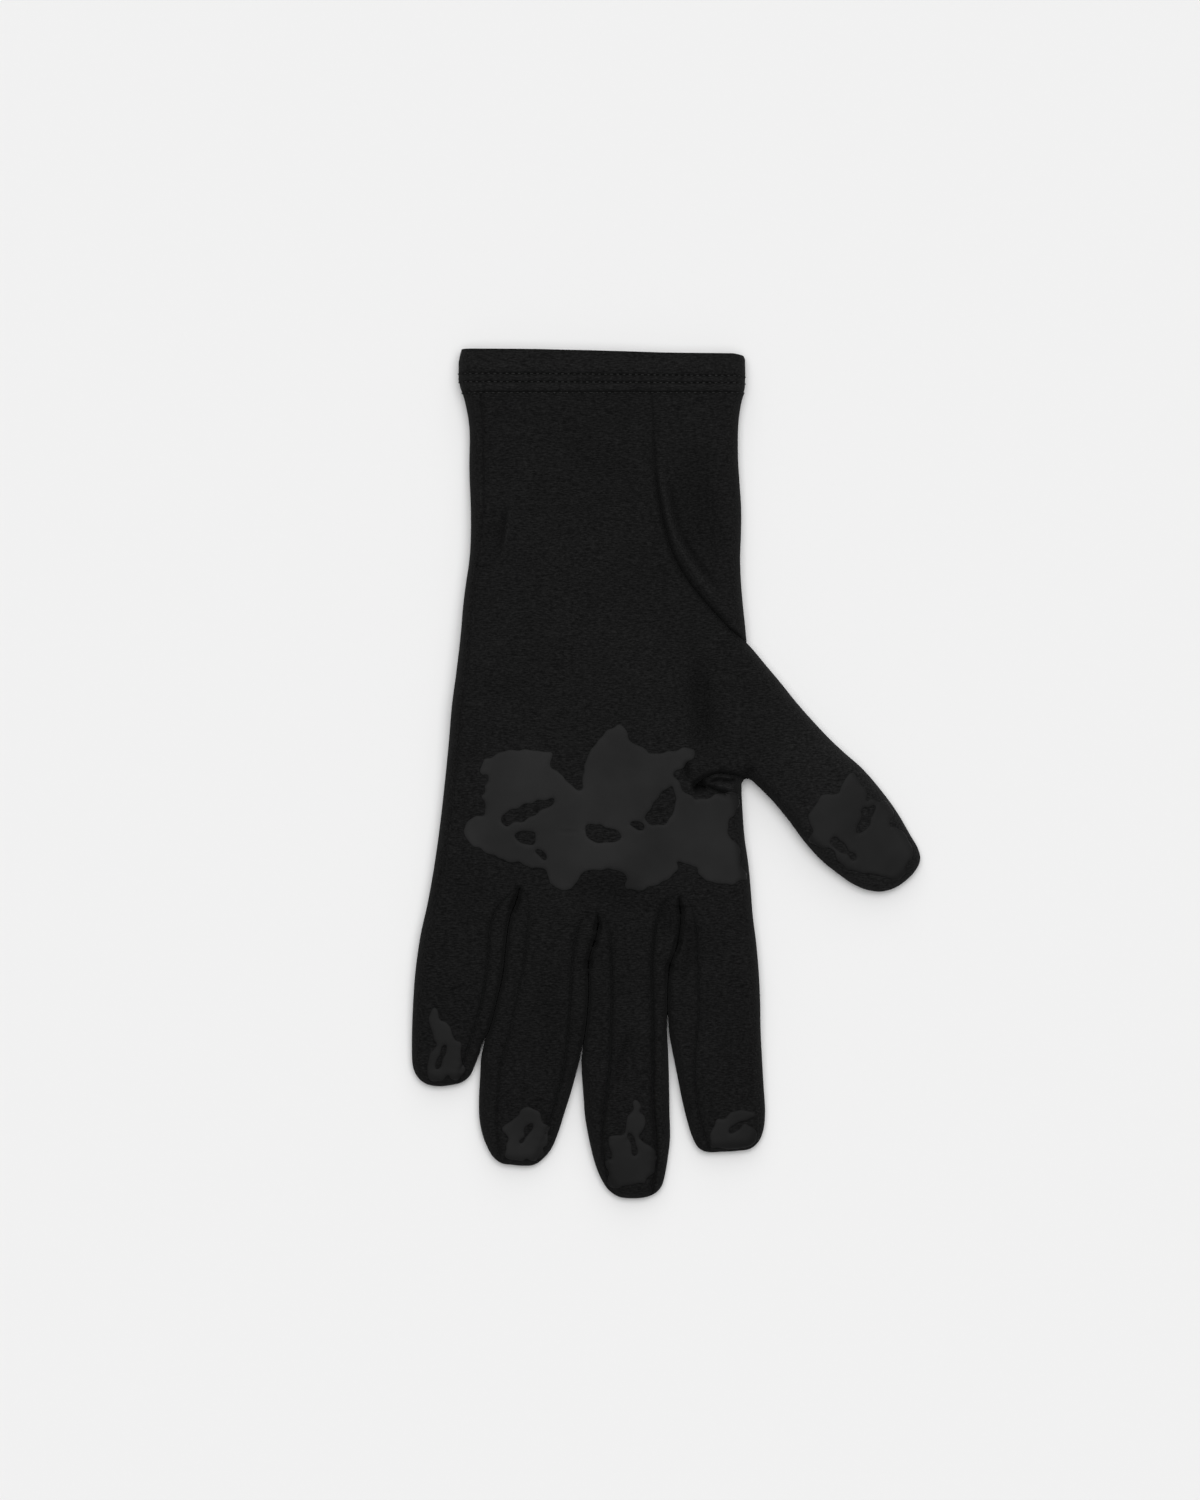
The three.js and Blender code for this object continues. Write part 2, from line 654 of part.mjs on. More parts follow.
// The fork of the thumb: the point of the palm's edge where the thumb's inner edge leaves it.
function thumbFork() {
  let [low, high] = FORK_SEARCH.range;
  const edge = (along) => thumbPoint(along, -lookUp(THUMB_ROWS, "along", along, "inner"));
  for (let i = 0; i < FORK_SEARCH.steps; i++) {
    const middle = (low + high) / 2;
    const point = edge(middle);
    if (point.x < bodyEdge(point.y, "right")) low = middle;
    else high = middle;
  }
  return edge(low);
}

function quirkRegion(grown) {
  const fork = thumbFork();
  const centre = new THREE.Vector2(QUIRK_MIDDLE.x * QUIRK.length, QUIRK_MIDDLE.y * QUIRK.width);
  const outline = QUIRK_ROWS.map((row) => {
    const point = new THREE.Vector2(row.x * QUIRK.length, row.y * QUIRK.width);
    const out = point.clone().sub(centre).normalize();
    return point.addScaledVector(out, grown).add(new THREE.Vector2(fork.x, fork.y));
  });
  return prism(outline, -FAR, FAR);
}

// The outline of a wavy oval about a point.
function ovalOutline(middle, halfLength, halfWidth, degrees) {
  const count = Math.max(LEAST_POINTS, Math.round((Math.PI * (halfLength + halfWidth)) / OVAL_STEP));
  const points = [];
  for (let i = 0; i < count; i++) {
    const round = (i / count) * 2 * Math.PI;
    const reach = 1 + OVAL_WAVE * Math.cos(OVAL_WAVES * round);
    const point = new THREE.Vector2(halfLength * Math.cos(round), halfWidth * Math.sin(round));
    point.multiplyScalar(reach).rotateAround(new THREE.Vector2(), THREE.MathUtils.degToRad(degrees));
    points.push(point.add(middle));
  }
  return points;
}

// A print's region: its lobes without its bays. placeOf gives the point of a row, unit is the width
// that its half axes are shares of, and base is the angle that its turn starts from.
function printRegion({ lobes, bays }, placeOf, unit, base) {
  const solidsOf = (rows) =>
    rows.map((row) => {
      const { x, y } = placeOf(row);
      const middle = new THREE.Vector2(x, y);
      const outline = ovalOutline(middle, row.length * unit, row.width * unit, base + row.turn);
      return prism(outline, SEAM_HEIGHT, FAR);
    });
  return joined(solidsOf(lobes)).subtract(joined(solidsOf(bays)));
}

function palmPrintRegion() {
  const placeOf = ({ x, y }) => new THREE.Vector2(x * PALM_WIDTH, y * PALM_LENGTH);
  return printRegion(PALM_PRINT, placeOf, PALM_WIDTH, 0);
}

function tipPrintRegion(finger) {
  const print = TIP_PRINTS[finger.name];
  const placeOf = ({ along, across }) => {
    const depth = print.middle * finger.size.length + along * finger.size.width;
    const { left, right } = fingerEdges(finger, depth);
    return new THREE.Vector2((left + right) / 2 + across * finger.size.width, -depth);
  };
  return printRegion(print, placeOf, finger.size.width, 0);
}

function thumbPrintRegion() {
  const step = THUMB.width / THUMB.length;
  const placeOf = ({ along, out }) => thumbPoint(THUMB_PRINT.middle + along * step, out);
  return printRegion(THUMB_PRINT, placeOf, THUMB.width, THREE.MathUtils.radToDeg(THUMB.angle));
}

// The turned hem: a ring of doubled cloth on the end of the cuff.
function hemSolid() {
  const end = CUFF_ROWS.at(-1);
  const ring = (inset) =>
    HEM_ROWS.map((row) => {
      const out = row.out * HEM_STAND;
      const y = HAND_LENGTH + GAP / 2 + row.up * (HEM_DEPTH - GAP / 2);
      return section(
        new THREE.Vector3(0, inset > 0 ? y + (row.up - 0.5) * MOUTH_CUT : y, 0),
        X_AXIS,
        CUFF_OFFSET + end.left * CUFF_WIDTH - out,
        CUFF_OFFSET + end.right * CUFF_WIDTH + out,
        end.thick * CUFF_THICKNESS + out,
      );
    });
  return tube(ring(0), 0).subtract(tube(ring(HEM_WALL), HEM_WALL));
}

function addPiece(group, name, solid, finish) {
  const mesh = new THREE.Mesh(geometryOf(solid), new THREE.MeshStandardMaterial(finish));
  mesh.name = name;
  group.add(mesh);
}

function buildGlove() {
  const glove = new THREE.Group();
  const shell = gloveSolid(0).subtract(gloveSolid(WALL));
  const forks = [1, 2, 3];
  const strips = joined(forks.map((index) => fourchetteRegion(index, GAP)));
  const cut = shell.subtract(strips).subtract(quirkRegion(GAP));

  addPiece(glove, "palm_panel", cut.intersect(palmRegion(0)), CLOTH);
  addPiece(glove, "back_panel", cut.subtract(palmRegion(GAP)), CLOTH);
  for (const index of forks) {
    const name = `fourchette_${FINGERS[index - 1].name}_${FINGERS[index].name}`;
    addPiece(glove, name, shell.intersect(fourchetteRegion(index, 0)), CLOTH);
  }
  addPiece(glove, "thumb_quirk", shell.intersect(quirkRegion(0)), CLOTH);
  addPiece(glove, "cuff_hem", hemSolid(), HEM_CLOTH);

  const skin = gloveSolid(-GAP - PRINT_THICKNESS).subtract(gloveSolid(-GAP));
  addPiece(glove, "grip_palm", skin.intersect(palmPrintRegion()), PRINT);
  addPiece(glove, "grip_thumb", skin.intersect(thumbPrintRegion()), PRINT);
  for (const finger of FINGERS)
    addPiece(glove, `grip_${finger.name}`, skin.intersect(tipPrintRegion(finger)), PRINT);
  return glove;
}

// The glove is set down with the middle of its box over the origin and its underside at z = 0.
const glove = buildGlove();
const box = new THREE.Box3().setFromObject(glove);
const middle = box.getCenter(new THREE.Vector3());
glove.position.set(-middle.x, -middle.y, -box.min.z);

export default glove;
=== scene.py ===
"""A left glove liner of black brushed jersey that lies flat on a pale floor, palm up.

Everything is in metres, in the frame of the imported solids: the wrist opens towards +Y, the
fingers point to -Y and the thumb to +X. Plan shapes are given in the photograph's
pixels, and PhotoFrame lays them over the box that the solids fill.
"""

from __future__ import annotations

import logging
import math
from collections.abc import Iterable, Sequence
from dataclasses import dataclass, field
from enum import Enum

import bpy
import numpy as np
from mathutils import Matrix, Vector
from mathutils.geometry import delaunay_2d_cdt
from mathutils.kdtree import KDTree


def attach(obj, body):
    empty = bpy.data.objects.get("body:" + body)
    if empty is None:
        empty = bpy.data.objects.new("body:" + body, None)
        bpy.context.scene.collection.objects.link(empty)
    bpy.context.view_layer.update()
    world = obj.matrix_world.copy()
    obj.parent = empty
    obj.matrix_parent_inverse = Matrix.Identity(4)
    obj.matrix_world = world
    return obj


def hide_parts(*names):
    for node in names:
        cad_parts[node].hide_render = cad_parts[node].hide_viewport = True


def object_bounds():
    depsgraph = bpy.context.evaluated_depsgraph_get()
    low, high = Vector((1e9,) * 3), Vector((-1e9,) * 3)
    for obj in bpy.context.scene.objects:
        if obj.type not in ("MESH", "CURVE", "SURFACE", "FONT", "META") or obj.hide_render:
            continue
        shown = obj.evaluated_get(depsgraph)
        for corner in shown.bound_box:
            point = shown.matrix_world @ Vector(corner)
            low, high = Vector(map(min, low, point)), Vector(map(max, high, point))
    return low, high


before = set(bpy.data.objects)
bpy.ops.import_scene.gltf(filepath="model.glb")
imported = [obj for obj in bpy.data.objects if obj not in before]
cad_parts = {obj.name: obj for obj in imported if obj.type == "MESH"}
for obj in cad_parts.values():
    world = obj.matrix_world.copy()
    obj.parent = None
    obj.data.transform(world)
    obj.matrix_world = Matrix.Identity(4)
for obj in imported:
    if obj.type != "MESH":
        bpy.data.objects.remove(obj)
CAD_LOW, CAD_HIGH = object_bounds()

LOG = logging.getLogger("glove_liner")
MM = 0.001
CM2 = 1e-4
BODY = "root"
# The point attribute that carries the cloth's painted shade and highlight to its material.
PAINTED_LIGHT = "nap"
# What keeps a length, or a squared length, that is divided by from being zero.
TINY = 1e-12
TINY_SQUARE = 1e-18
# Points nearer than this to each other are the same.
SAME_PLACE = 0.001 * MM
CUT_TOLERANCE = 1e-7

Pixels = Sequence[tuple[float, float]]
Array = np.ndarray
Piece = bpy.types.Object
Material = bpy.types.Material
Socket = bpy.types.NodeSocket


@dataclass(frozen=True)
class PhotoFrame:
    """The glove's box in the photograph, in pixels, laid over the box of the solids."""

    left: float = 412.0
    right: float = 920.0
    top: float = 350.7
    bottom: float = 1196.3
    image_width: float = 1200.0
    image_height: float = 1500.0

    @property
    def scale(self) -> float:
        """Metres of floor that one pixel covers."""
        return (CAD_HIGH.x - CAD_LOW.x) / (self.right - self.left)

    def plan(self, pixels: Pixels) -> Array:
        """Turns pixels into plan points.

        Args:
            pixels: Places in the photograph, x to the right and y down.

        Returns:
            One row of x and y in metres for each pixel.
        """
        at = np.asarray(pixels, float)
        x = (at[:, 0] - (self.left + self.right) / 2) * self.scale
        y = ((self.top + self.bottom) / 2 - at[:, 1]) * self.scale
        return np.column_stack([x + (CAD_LOW.x + CAD_HIGH.x) / 2, y + (CAD_LOW.y + CAD_HIGH.y) / 2])


PHOTO = PhotoFrame()

# A pinched crease's narrow slit: its share of the depth, and its width as a share of the reach.
SLIT_SHARE = 0.6
SLIT_WIDTH = 0.3
# How much of a faint seam shows at its start, as a share.
TRACE = 0.2


class Side(Enum):
    """The two faces of the glove as it lies."""

    PALM = "up"
    BACK = "down"


class Dip(Enum):
    """How a crease's walls fall: evenly, or into a narrow slit at its bottom."""

    SOFT = "soft"
    SLIT = "slit"


@dataclass(frozen=True)
class Crease:
    """A line along which the cloth dips, or rises where its depth is negative.

    Attributes:
        path: Its points, in pixels.
        depth: How far it dips at its middle.
        reach: How far to each side it is felt.
        dip: Whether its walls are soft or pinched.
        fade: The share of its length over which it comes up from nothing, at each end.
        faint: The share of its length, from its start, over which it comes up from a trace.
        pucker: The rise of the small waves that the thread draws in beside it.
    """

    path: Pixels
    depth: float
    reach: float
    dip: Dip = Dip.SOFT
    fade: float = 0.25
    faint: float = 0.0
    pucker: float = 0.0

    def profile(self, gap: Array) -> Array:
        """Gives the shape of its walls.

        Args:
            gap: Distances from its line.

        Returns:
            The share of its depth at each of them.
        """
        soft = np.exp(-((gap / self.reach) ** 2))
        if self.dip is Dip.SOFT:
            return soft
        return SLIT_SHARE * np.exp(-gap / (SLIT_WIDTH * self.reach)) + (1 - SLIT_SHARE) * soft


# The edge of the glove, from the hem's left corner round to its right one, in stretches that
# meet at the forks and at the corner between thumb and cuff.
LITTLE_EDGE = (
    (462.5, 393), (466, 406), (469.5, 428), (469.5, 470), (471, 515), (470.5, 548), (469, 564),
    (466, 584), (463.5, 604), (460.5, 638), (456.5, 672), (452, 706), (449, 742), (445, 782),
    (440.5, 822), (435, 862), (428, 902), (420.5, 936), (415.5, 972), (413, 1008), (412, 1046),
    (413, 1066), (417.5, 1076.5), (426, 1083.5), (438, 1086), (450, 1085), (462, 1082),
    (470, 1075.5), (475.5, 1064), (480, 1052),
)
RING_EDGE = (
    (481.5, 1056), (480, 1080), (479, 1100), (479.5, 1118), (482.5, 1134), (488, 1148),
    (494, 1157.5), (502, 1163), (512, 1164.5), (524, 1165.5), (534, 1164.5), (543, 1158.5),
    (551, 1149), (558, 1133), (565, 1111), (571, 1092), (577, 1070), (580, 1058),
)
MIDDLE_EDGE = (
    (581.5, 1060), (582, 1076), (583.5, 1096), (585, 1116), (588.5, 1136), (592, 1152),
    (596, 1166), (602, 1180), (609, 1190), (619, 1196.5), (632, 1198), (645, 1197), (655, 1193),
    (661.5, 1186), (665, 1174), (668, 1156), (670, 1138), (669.5, 1112), (669, 1080), (668, 1050),
    (667, 1032),
)
INDEX_EDGE = (
    (669, 1032), (671, 1044), (674.5, 1062), (678.5, 1082), (682.5, 1102), (687, 1120),
    (692, 1136), (698, 1147), (706, 1151.5), (722, 1151.5), (738, 1150.5), (750, 1148.5),
    (758, 1142), (763, 1131), (765, 1112), (763.5, 1086), (762, 1060), (760.5, 1030), (760, 1000),
    (758.5, 970), (756, 942), (752.5, 914), (750.5, 888), (748, 862), (744.5, 838), (742.5, 812),
    (741.5, 794), (741.5, 784),
)
THUMB_EDGE = (
    (741.5, 784), (744, 779.5), (749, 779), (757, 785.5), (773, 801.5), (789, 821), (805, 842.5),
    (821, 860), (837, 873), (853, 884), (866, 889.5), (880, 891.5), (893, 888.5), (905, 881),
    (914.5, 871.5), (920, 860), (918, 849), (909.5, 834), (901, 819), (893, 806.5), (877, 785.5),
    (861, 767.5), (845, 753.5), (829, 738.5), (813, 721.5), (797, 703.5), (781, 683.5),
    (765, 664.5), (753, 650), (746.5, 643),
)
CUFF_EDGE = (
    (746.5, 643), (745, 626), (743, 608), (741, 584), (740, 560), (741, 530), (741, 508),
    (739.5, 484), (738, 460), (738, 430), (739.5, 413), (742, 400), (744.5, 393),
)


@dataclass(frozen=True)
class Fork:
    """The place where two fingers part, and the line along which they then touch.

    Attributes:
        before: The finger on its left, by name.
        after: The finger on its right.
        fold: From the strip's point down to where the cleft starts; the strip folds in there.
        pits: The places along it where the fold opens into a small hole.
        contact: From there down to where the fingers come apart: x, y and how wide the
            cleft is there, in pixels.
        seams: The seams of the strip between the fingers, first the left finger's. Both start at
            the strip's point just above the fork.
        depths: How deep they are.
    """

    before: str
    after: str
    fold: Pixels
    pits: Sequence[Pixels]
    contact: Sequence[tuple[float, float, float]]
    seams: tuple[Pixels, Pixels]
    depths: tuple[float, float]

    @property
    def name(self) -> str:
        """The strip's own node in the frame."""
        return f"fourchette_{self.before}_{self.after}"

    def side(self, sign: float) -> Pixels:
        """One side of the cleft, from the fork down: the left for -1 and the right for 1."""
        return [(x + sign * width / 2, y) for x, y, width in self.contact]


FORKS = (
    Fork(
        "pinky",
        "ring",
        ((520, 886), (518.5, 893), (516, 902), (511, 914)),
        (((518, 893), (516.5, 900), (513, 907), (510, 912)),),
        ((511, 914, 0), (509.5, 921, 0.06), (507.5, 932, 0.06), (506, 946, 0.06),
         (503, 974, 0.06), (496.5, 1003, 0.06), (489.5, 1029, 0.06), (485, 1039, 0.4), (483, 1045, 1.6)),
        (((520, 886), (507, 897), (496, 911), (490.5, 928), (488, 957), (484, 990), (477, 1020),
          (468, 1048), (462, 1068), (459, 1083)),
         ((520, 886), (527, 896), (529, 910), (526, 940), (523.5, 967), (517.5, 995),
          (510.5, 1028), (502, 1058), (498.5, 1080), (497, 1114), (498, 1144), (501, 1162))),
        (0.9 * MM, 0.6 * MM),
    ),
    Fork(
        "ring",
        "middle",
        ((597, 912), (598, 922), (596.5, 934), (593.5, 944), (590, 954), (588.3, 966), (588.4, 974)),
        (((597.5, 921), (598, 927), (596.5, 932)), ((595, 939), (593.5, 943), (592.5, 948)),
         ((589, 959), (588, 964), (588, 970))),
        ((588.4, 974, 0), (588.5, 980, 0.06), (588.6, 990, 0.06), (588, 1004, 0.06),
         (586, 1026, 0.06), (583, 1044, 0.3), (581.5, 1053, 1.4)),
        (((597, 912), (587, 916), (579, 926), (574, 948), (571.5, 981), (569, 1015),
          (567, 1044), (562, 1078), (555, 1106), (547, 1132), (540, 1152), (535, 1164)),
         ((597, 912), (605, 918), (609.5, 930), (611, 962), (612, 996), (611, 1030),
          (610, 1066), (606, 1095), (602, 1127), (603, 1155), (608, 1178), (613, 1193))),
        (0.95 * MM, 1.0 * MM),
    ),
    Fork(
        "middle",
        "index",
        ((678, 894), (679.5, 904), (680.5, 916), (679, 934), (676.5, 947), (670, 964), (668.4, 974)),
        (((679, 904), (680, 910), (680, 915)), ((678.5, 938), (676.8, 946), (674, 953)),
         ((670.5, 962), (669, 968), (668.5, 973))),
        ((668.4, 974, 0), (667.8, 982, 0.06),
         (667.6, 996, 0.06), (667.5, 1012, 0.2), (667.8, 1023, 1.2)),
        (((678, 894), (667, 900), (659.5, 914), (654.5, 933), (652, 957), (652, 981), (653, 1017),
          (653, 1061), (653, 1102), (656, 1140), (656, 1165), (651, 1195)),
         ((678, 894), (689, 902), (695, 925), (696.5, 957), (698, 981), (698, 1017), (695, 1050),
          (694.5, 1078), (698, 1110), (704, 1134), (710, 1152))),
        (1.4 * MM, 0.7 * MM),
    ),
)

SIDE_SEAM = (
    (481, 393), (482.5, 430), (484, 480), (483, 520), (480, 548), (475.5, 572), (472.5, 604),
    (469.5, 640), (465, 680), (460.5, 720), (456.5, 760), (452, 800), (447, 840), (441, 876),
    (433, 906), (423, 927),
)
THUMB_SEAM = (
    (652, 393), (653, 420), (655, 470), (659, 500), (665, 530), (672, 553), (685, 577),
    (700, 597), (715, 614), (730, 630), (746.5, 643),
)
QUIRK_TOP = (
    (696, 785), (700, 781), (706, 777.5), (716, 773.5), (725, 773.8), (737, 775.5), (749, 779),
)
QUIRK_FOOT = (
    (696, 785), (703, 786), (710, 787.5), (717, 790.5), (725, 793.5), (734, 796.5), (741.8, 800),
)

SEAM_DEPTH = 1.2 * MM
SEAM_REACH = 0.95 * MM
SEAM_PUCKER = 0.08 * MM


def seam(path: Pixels, depth: float = SEAM_DEPTH, faint: float = 0.0) -> Crease:
    """A stitched seam: a pinched line whose depth reaches both of its ends."""
    return Crease(path, depth, SEAM_REACH, Dip.SLIT, 0.0, faint, SEAM_PUCKER)


def behind(path: Pixels, aside: float) -> Pixels:
    """The same seam on the back of the glove, a little to one side of the palm's."""
    (x, y), *others = path
    return [(x, y + abs(aside)), *((x + aside, y) for x, y in others)]


# How far the back's seams lie aside from the palm's, in pixels.
BACK_SHIFT = 3.0
# The share of a strip's seam, from the fork, over which it comes up.
STRIP_FAINT = 0.18
STRIP_SEAMS = tuple(
    seam(path, depth, STRIP_FAINT) for fork in FORKS for path, depth in zip(fork.seams, fork.depths)
)
FOLDS = tuple(Crease(fork.fold, 3.2 * MM, 0.8 * MM, Dip.SLIT, fade=0.12) for fork in FORKS)
PITS = tuple(Crease(pit, 3.4 * MM, 0.85 * MM, fade=0.25) for fork in FORKS for pit in fork.pits)
QUIRK_SEAMS = (seam(QUIRK_TOP, 2.4 * MM), seam(QUIRK_FOOT, 2.2 * MM))
PALM_SEAMS = (
    seam(SIDE_SEAM, 0.5 * MM),
    seam(THUMB_SEAM, 1.7 * MM, 0.5),
    *STRIP_SEAMS,
    *QUIRK_SEAMS,
    *FOLDS,
)
BACK_SEAMS = (
    *(seam(behind(fork.seams[0], BACK_SHIFT)) for fork in FORKS),
    *(seam(behind(fork.seams[1], -BACK_SHIFT)) for fork in FORKS),
    seam([(x + BACK_SHIFT, y + BACK_SHIFT / 2) for x, y in QUIRK_TOP]),
    seam([(x + BACK_SHIFT, y + BACK_SHIFT / 2) for x, y in QUIRK_FOOT]),
)

# What the hand and the folding left in the palm side.
CREASES = (
    Crease(((657, 440), (661, 480), (667, 514), (676, 541), (690, 566), (705, 588), (722, 608),
            (740, 626)), -0.9 * MM, 0.95 * MM, fade=0.35),
    Crease(((668, 470), (673, 502), (680, 530), (692, 553), (709, 577), (727, 598)),
           0.8 * MM, 0.8 * MM),
    Crease(((690, 440), (698, 500), (706, 550), (722, 592)), 2.4 * MM, 6 * MM, fade=0.4),
    Crease(((507, 497), (504, 525), (500, 548), (495, 569)), 1.0 * MM, 1.2 * MM, Dip.SLIT, 0.4),
    Crease(((511, 500), (508, 528), (503, 552), (498, 569)), -0.6 * MM, 0.8 * MM, fade=0.3),
    Crease(((500, 500), (496, 530), (490, 556)), 0.8 * MM, 3.0 * MM, fade=0.4),
    Crease(((471, 566), (482, 567), (495, 569)), 0.7 * MM, 1.0 * MM, Dip.SLIT, 0.3),
    Crease(((695, 650), (699, 690), (703, 735), (703, 768)), 2.6 * MM, 3.4 * MM, fade=0.4),
    Crease(((688, 760), (687, 771), (689, 783)), 1.2 * MM, 0.9 * MM, fade=0.3),
    Crease(((692, 789), (698, 787), (706, 785.5)), 5.0 * MM, 1.4 * MM, fade=0.15),
    Crease(((709, 782.5), (717, 779.5), (727, 780.5), (737, 779.5)),
           1.8 * MM, 0.7 * MM, Dip.SLIT, 0.1),
    Crease(((708, 778.5), (717, 775.6), (727, 777.4), (736, 777.6)), -0.7 * MM, 0.5 * MM),
    Crease(((714, 785), (723, 786.5), (737, 789)), -0.9 * MM, 1.0 * MM),
    Crease(((742, 773), (748, 771), (757, 769)), 0.9 * MM, 1.2 * MM, fade=0.3),
    Crease(((636, 1020), (629, 1036), (622, 1056), (616, 1078), (613, 1096)),
           0.8 * MM, 1.5 * MM, fade=0.35),
    Crease(((659, 890), (668, 925), (674, 950)), 1.4 * MM, 3 * MM, fade=0.4),
    Crease(((688, 915), (690, 940), (687, 965), (682, 990)), 1.2 * MM, 2.6 * MM, fade=0.4),
    Crease(((545, 940), (548, 980), (546, 1030), (538, 1080)), 0.9 * MM, 4 * MM, fade=0.4),
    Crease(((560, 900), (600, 893), (650, 897)), 1.2 * MM, 5 * MM, fade=0.3),
    Crease(((640, 560), (600, 600), (560, 640)), 0.9 * MM, 7 * MM, fade=0.4),
    *PITS,
)


def seam_groups() -> dict[Side, tuple[Crease, ...]]:
    """The seams that part the panels, for each side of the glove."""
    return {Side.PALM: PALM_SEAMS, Side.BACK: BACK_SEAMS}


def run_of(path: Array) -> Array:
    """The length along a path up to each of its points."""
    return np.concatenate([[0.0], np.cumsum(np.linalg.norm(np.diff(path, axis=0), axis=1))])


def resample(path: Array, spacing: float) -> Array:
    """Takes even steps along a path.

    Args:
        path: The path's points.
        spacing: About how long a step is.

    Returns:
        Points on the path, with both of its ends.
    """
    run = run_of(path)
    at = np.linspace(0, run[-1], max(2, round(run[-1] / spacing) + 1))
    return np.column_stack([np.interp(at, run, path[:, k]) for k in range(path.shape[1])])


SPAN_SAMPLES = 16


def spline(points: Array, spacing: float, closed: bool = False) -> Array:
    """Runs a smooth curve through points.

    Args:
        points: The points that it passes through.
        spacing: The distance between the samples that come back.
        closed: Whether it runs on from the last point to the first.

    Returns:
        The samples. A closed curve's last sample equals its first.
    """
    if closed:
        p = np.vstack([points[-1:], points, points[:2]])
    else:
        p = np.vstack([2 * points[0] - points[1], points, 2 * points[-1] - points[-2]])
    knots = np.concatenate([[0], np.cumsum(np.sqrt(np.linalg.norm(np.diff(p, axis=0), axis=1)))])
    pieces = []
    for i in range(1, len(p) - 2):
        t0, t1, t2, t3 = knots[i - 1 : i + 3]
        t = np.linspace(t1, t2, SPAN_SAMPLES, endpoint=False)[:, None]
        a = ((t1 - t) * p[i - 1] + (t - t0) * p[i]) / (t1 - t0)
        b = ((t2 - t) * p[i] + (t - t1) * p[i + 1]) / (t2 - t1)
        c = ((t3 - t) * p[i + 1] + (t - t2) * p[i + 2]) / (t3 - t2)
        d = ((t2 - t) * a + (t - t0) * b) / (t2 - t0)
        e = ((t3 - t) * b + (t - t1) * c) / (t3 - t1)
        pieces.append(((t2 - t) * d + (t - t1) * e) / (t2 - t1))
    pieces.append(p[-2:-1])
    return resample(np.vstack(pieces), spacing)


def left_normals(path: Array) -> Array:
    """Finds the unit normals on a path's left.

    Args:
        path: Plan points.

    Returns:
        One normal for each of them.
    """
    along = np.gradient(path, axis=0)
    along /= np.maximum(np.linalg.norm(along, axis=1, keepdims=True), TINY)
    return np.column_stack([-along[:, 1], along[:, 0]])


def nearest_on_path(points: Array, path: Array) -> tuple[Array, Array]:
    """How far points lie from a path, and how far along it their nearest places are.

    Args:
        points: Plan points.
        path: The path's own points.

    Returns:
        The distances, and the lengths along the path.
    """
    steps = np.diff(path, axis=0)
    run = run_of(path)
    best = np.full(len(points), np.inf)
    place = np.zeros(len(points))
    for i, step in enumerate(steps):
        square = max(float(step @ step), TINY_SQUARE)
        away = points - path[i]
        share = np.clip(away @ step / square, 0, 1)
        gap = np.hypot(away[:, 0] - share * step[0], away[:, 1] - share * step[1])
        closer = gap < best
        best[closer] = gap[closer]
        place[closer] = run[i] + share[closer] * math.sqrt(square)
    return best, place


def inside(points: Array, loop: Array) -> Array:
    """Tells which points lie inside a closed loop, by counting its crossings.

    Args:
        points: Plan points.
        loop: The loop's points, without a repeated one.

    Returns:
        True for each point inside.
    """
    x, y = points[:, 0], points[:, 1]
    found = np.zeros(len(points), bool)
    for (x0, y0), (x1, y1) in zip(loop, np.roll(loop, -1, axis=0)):
        if y0 == y1:
            continue
        crossed = (y0 > y) != (y1 > y)
        found ^= crossed & (x < x0 + (y - y0) * (x1 - x0) / (y1 - y0))
    return found


def hex_grid(low: Array, high: Array, step: float) -> Array:
    """Lays a grid of even triangles over a box.

    Args:
        low: The box's least corner.
        high: Its greatest corner.
        step: The side of a triangle.

    Returns:
        The grid's points.
    """
    ys = np.arange(low[1], high[1], step * math.sqrt(3) / 2)
    rows = []
    for i, y in enumerate(ys):
        xs = np.arange(low[0] + (i % 2) * step / 2, high[0], step)
        rows.append(np.column_stack([xs, np.full(len(xs), y)]))
    return np.vstack(rows)


def smoothstep(t: Array) -> Array:
    """Rises from 0 to 1 with level ends."""
    t = np.clip(t, 0, 1)
    return t * t * (3 - 2 * t)


def uneven_wave(along: Array, pitch: float, sway: float, slow: float) -> Array:
    """A wave whose crests come at uneven steps.

    Args:
        along: Lengths in metres.
        pitch: How fast it goes, in radians to a millimetre.
        sway: How far its phase swings, in radians.
        slow: How fast that goes, in radians to a millimetre.

    Returns:
        Values between -1 and 1.
    """
    return np.sin(along / MM * pitch + sway * np.sin(along / MM * slow))


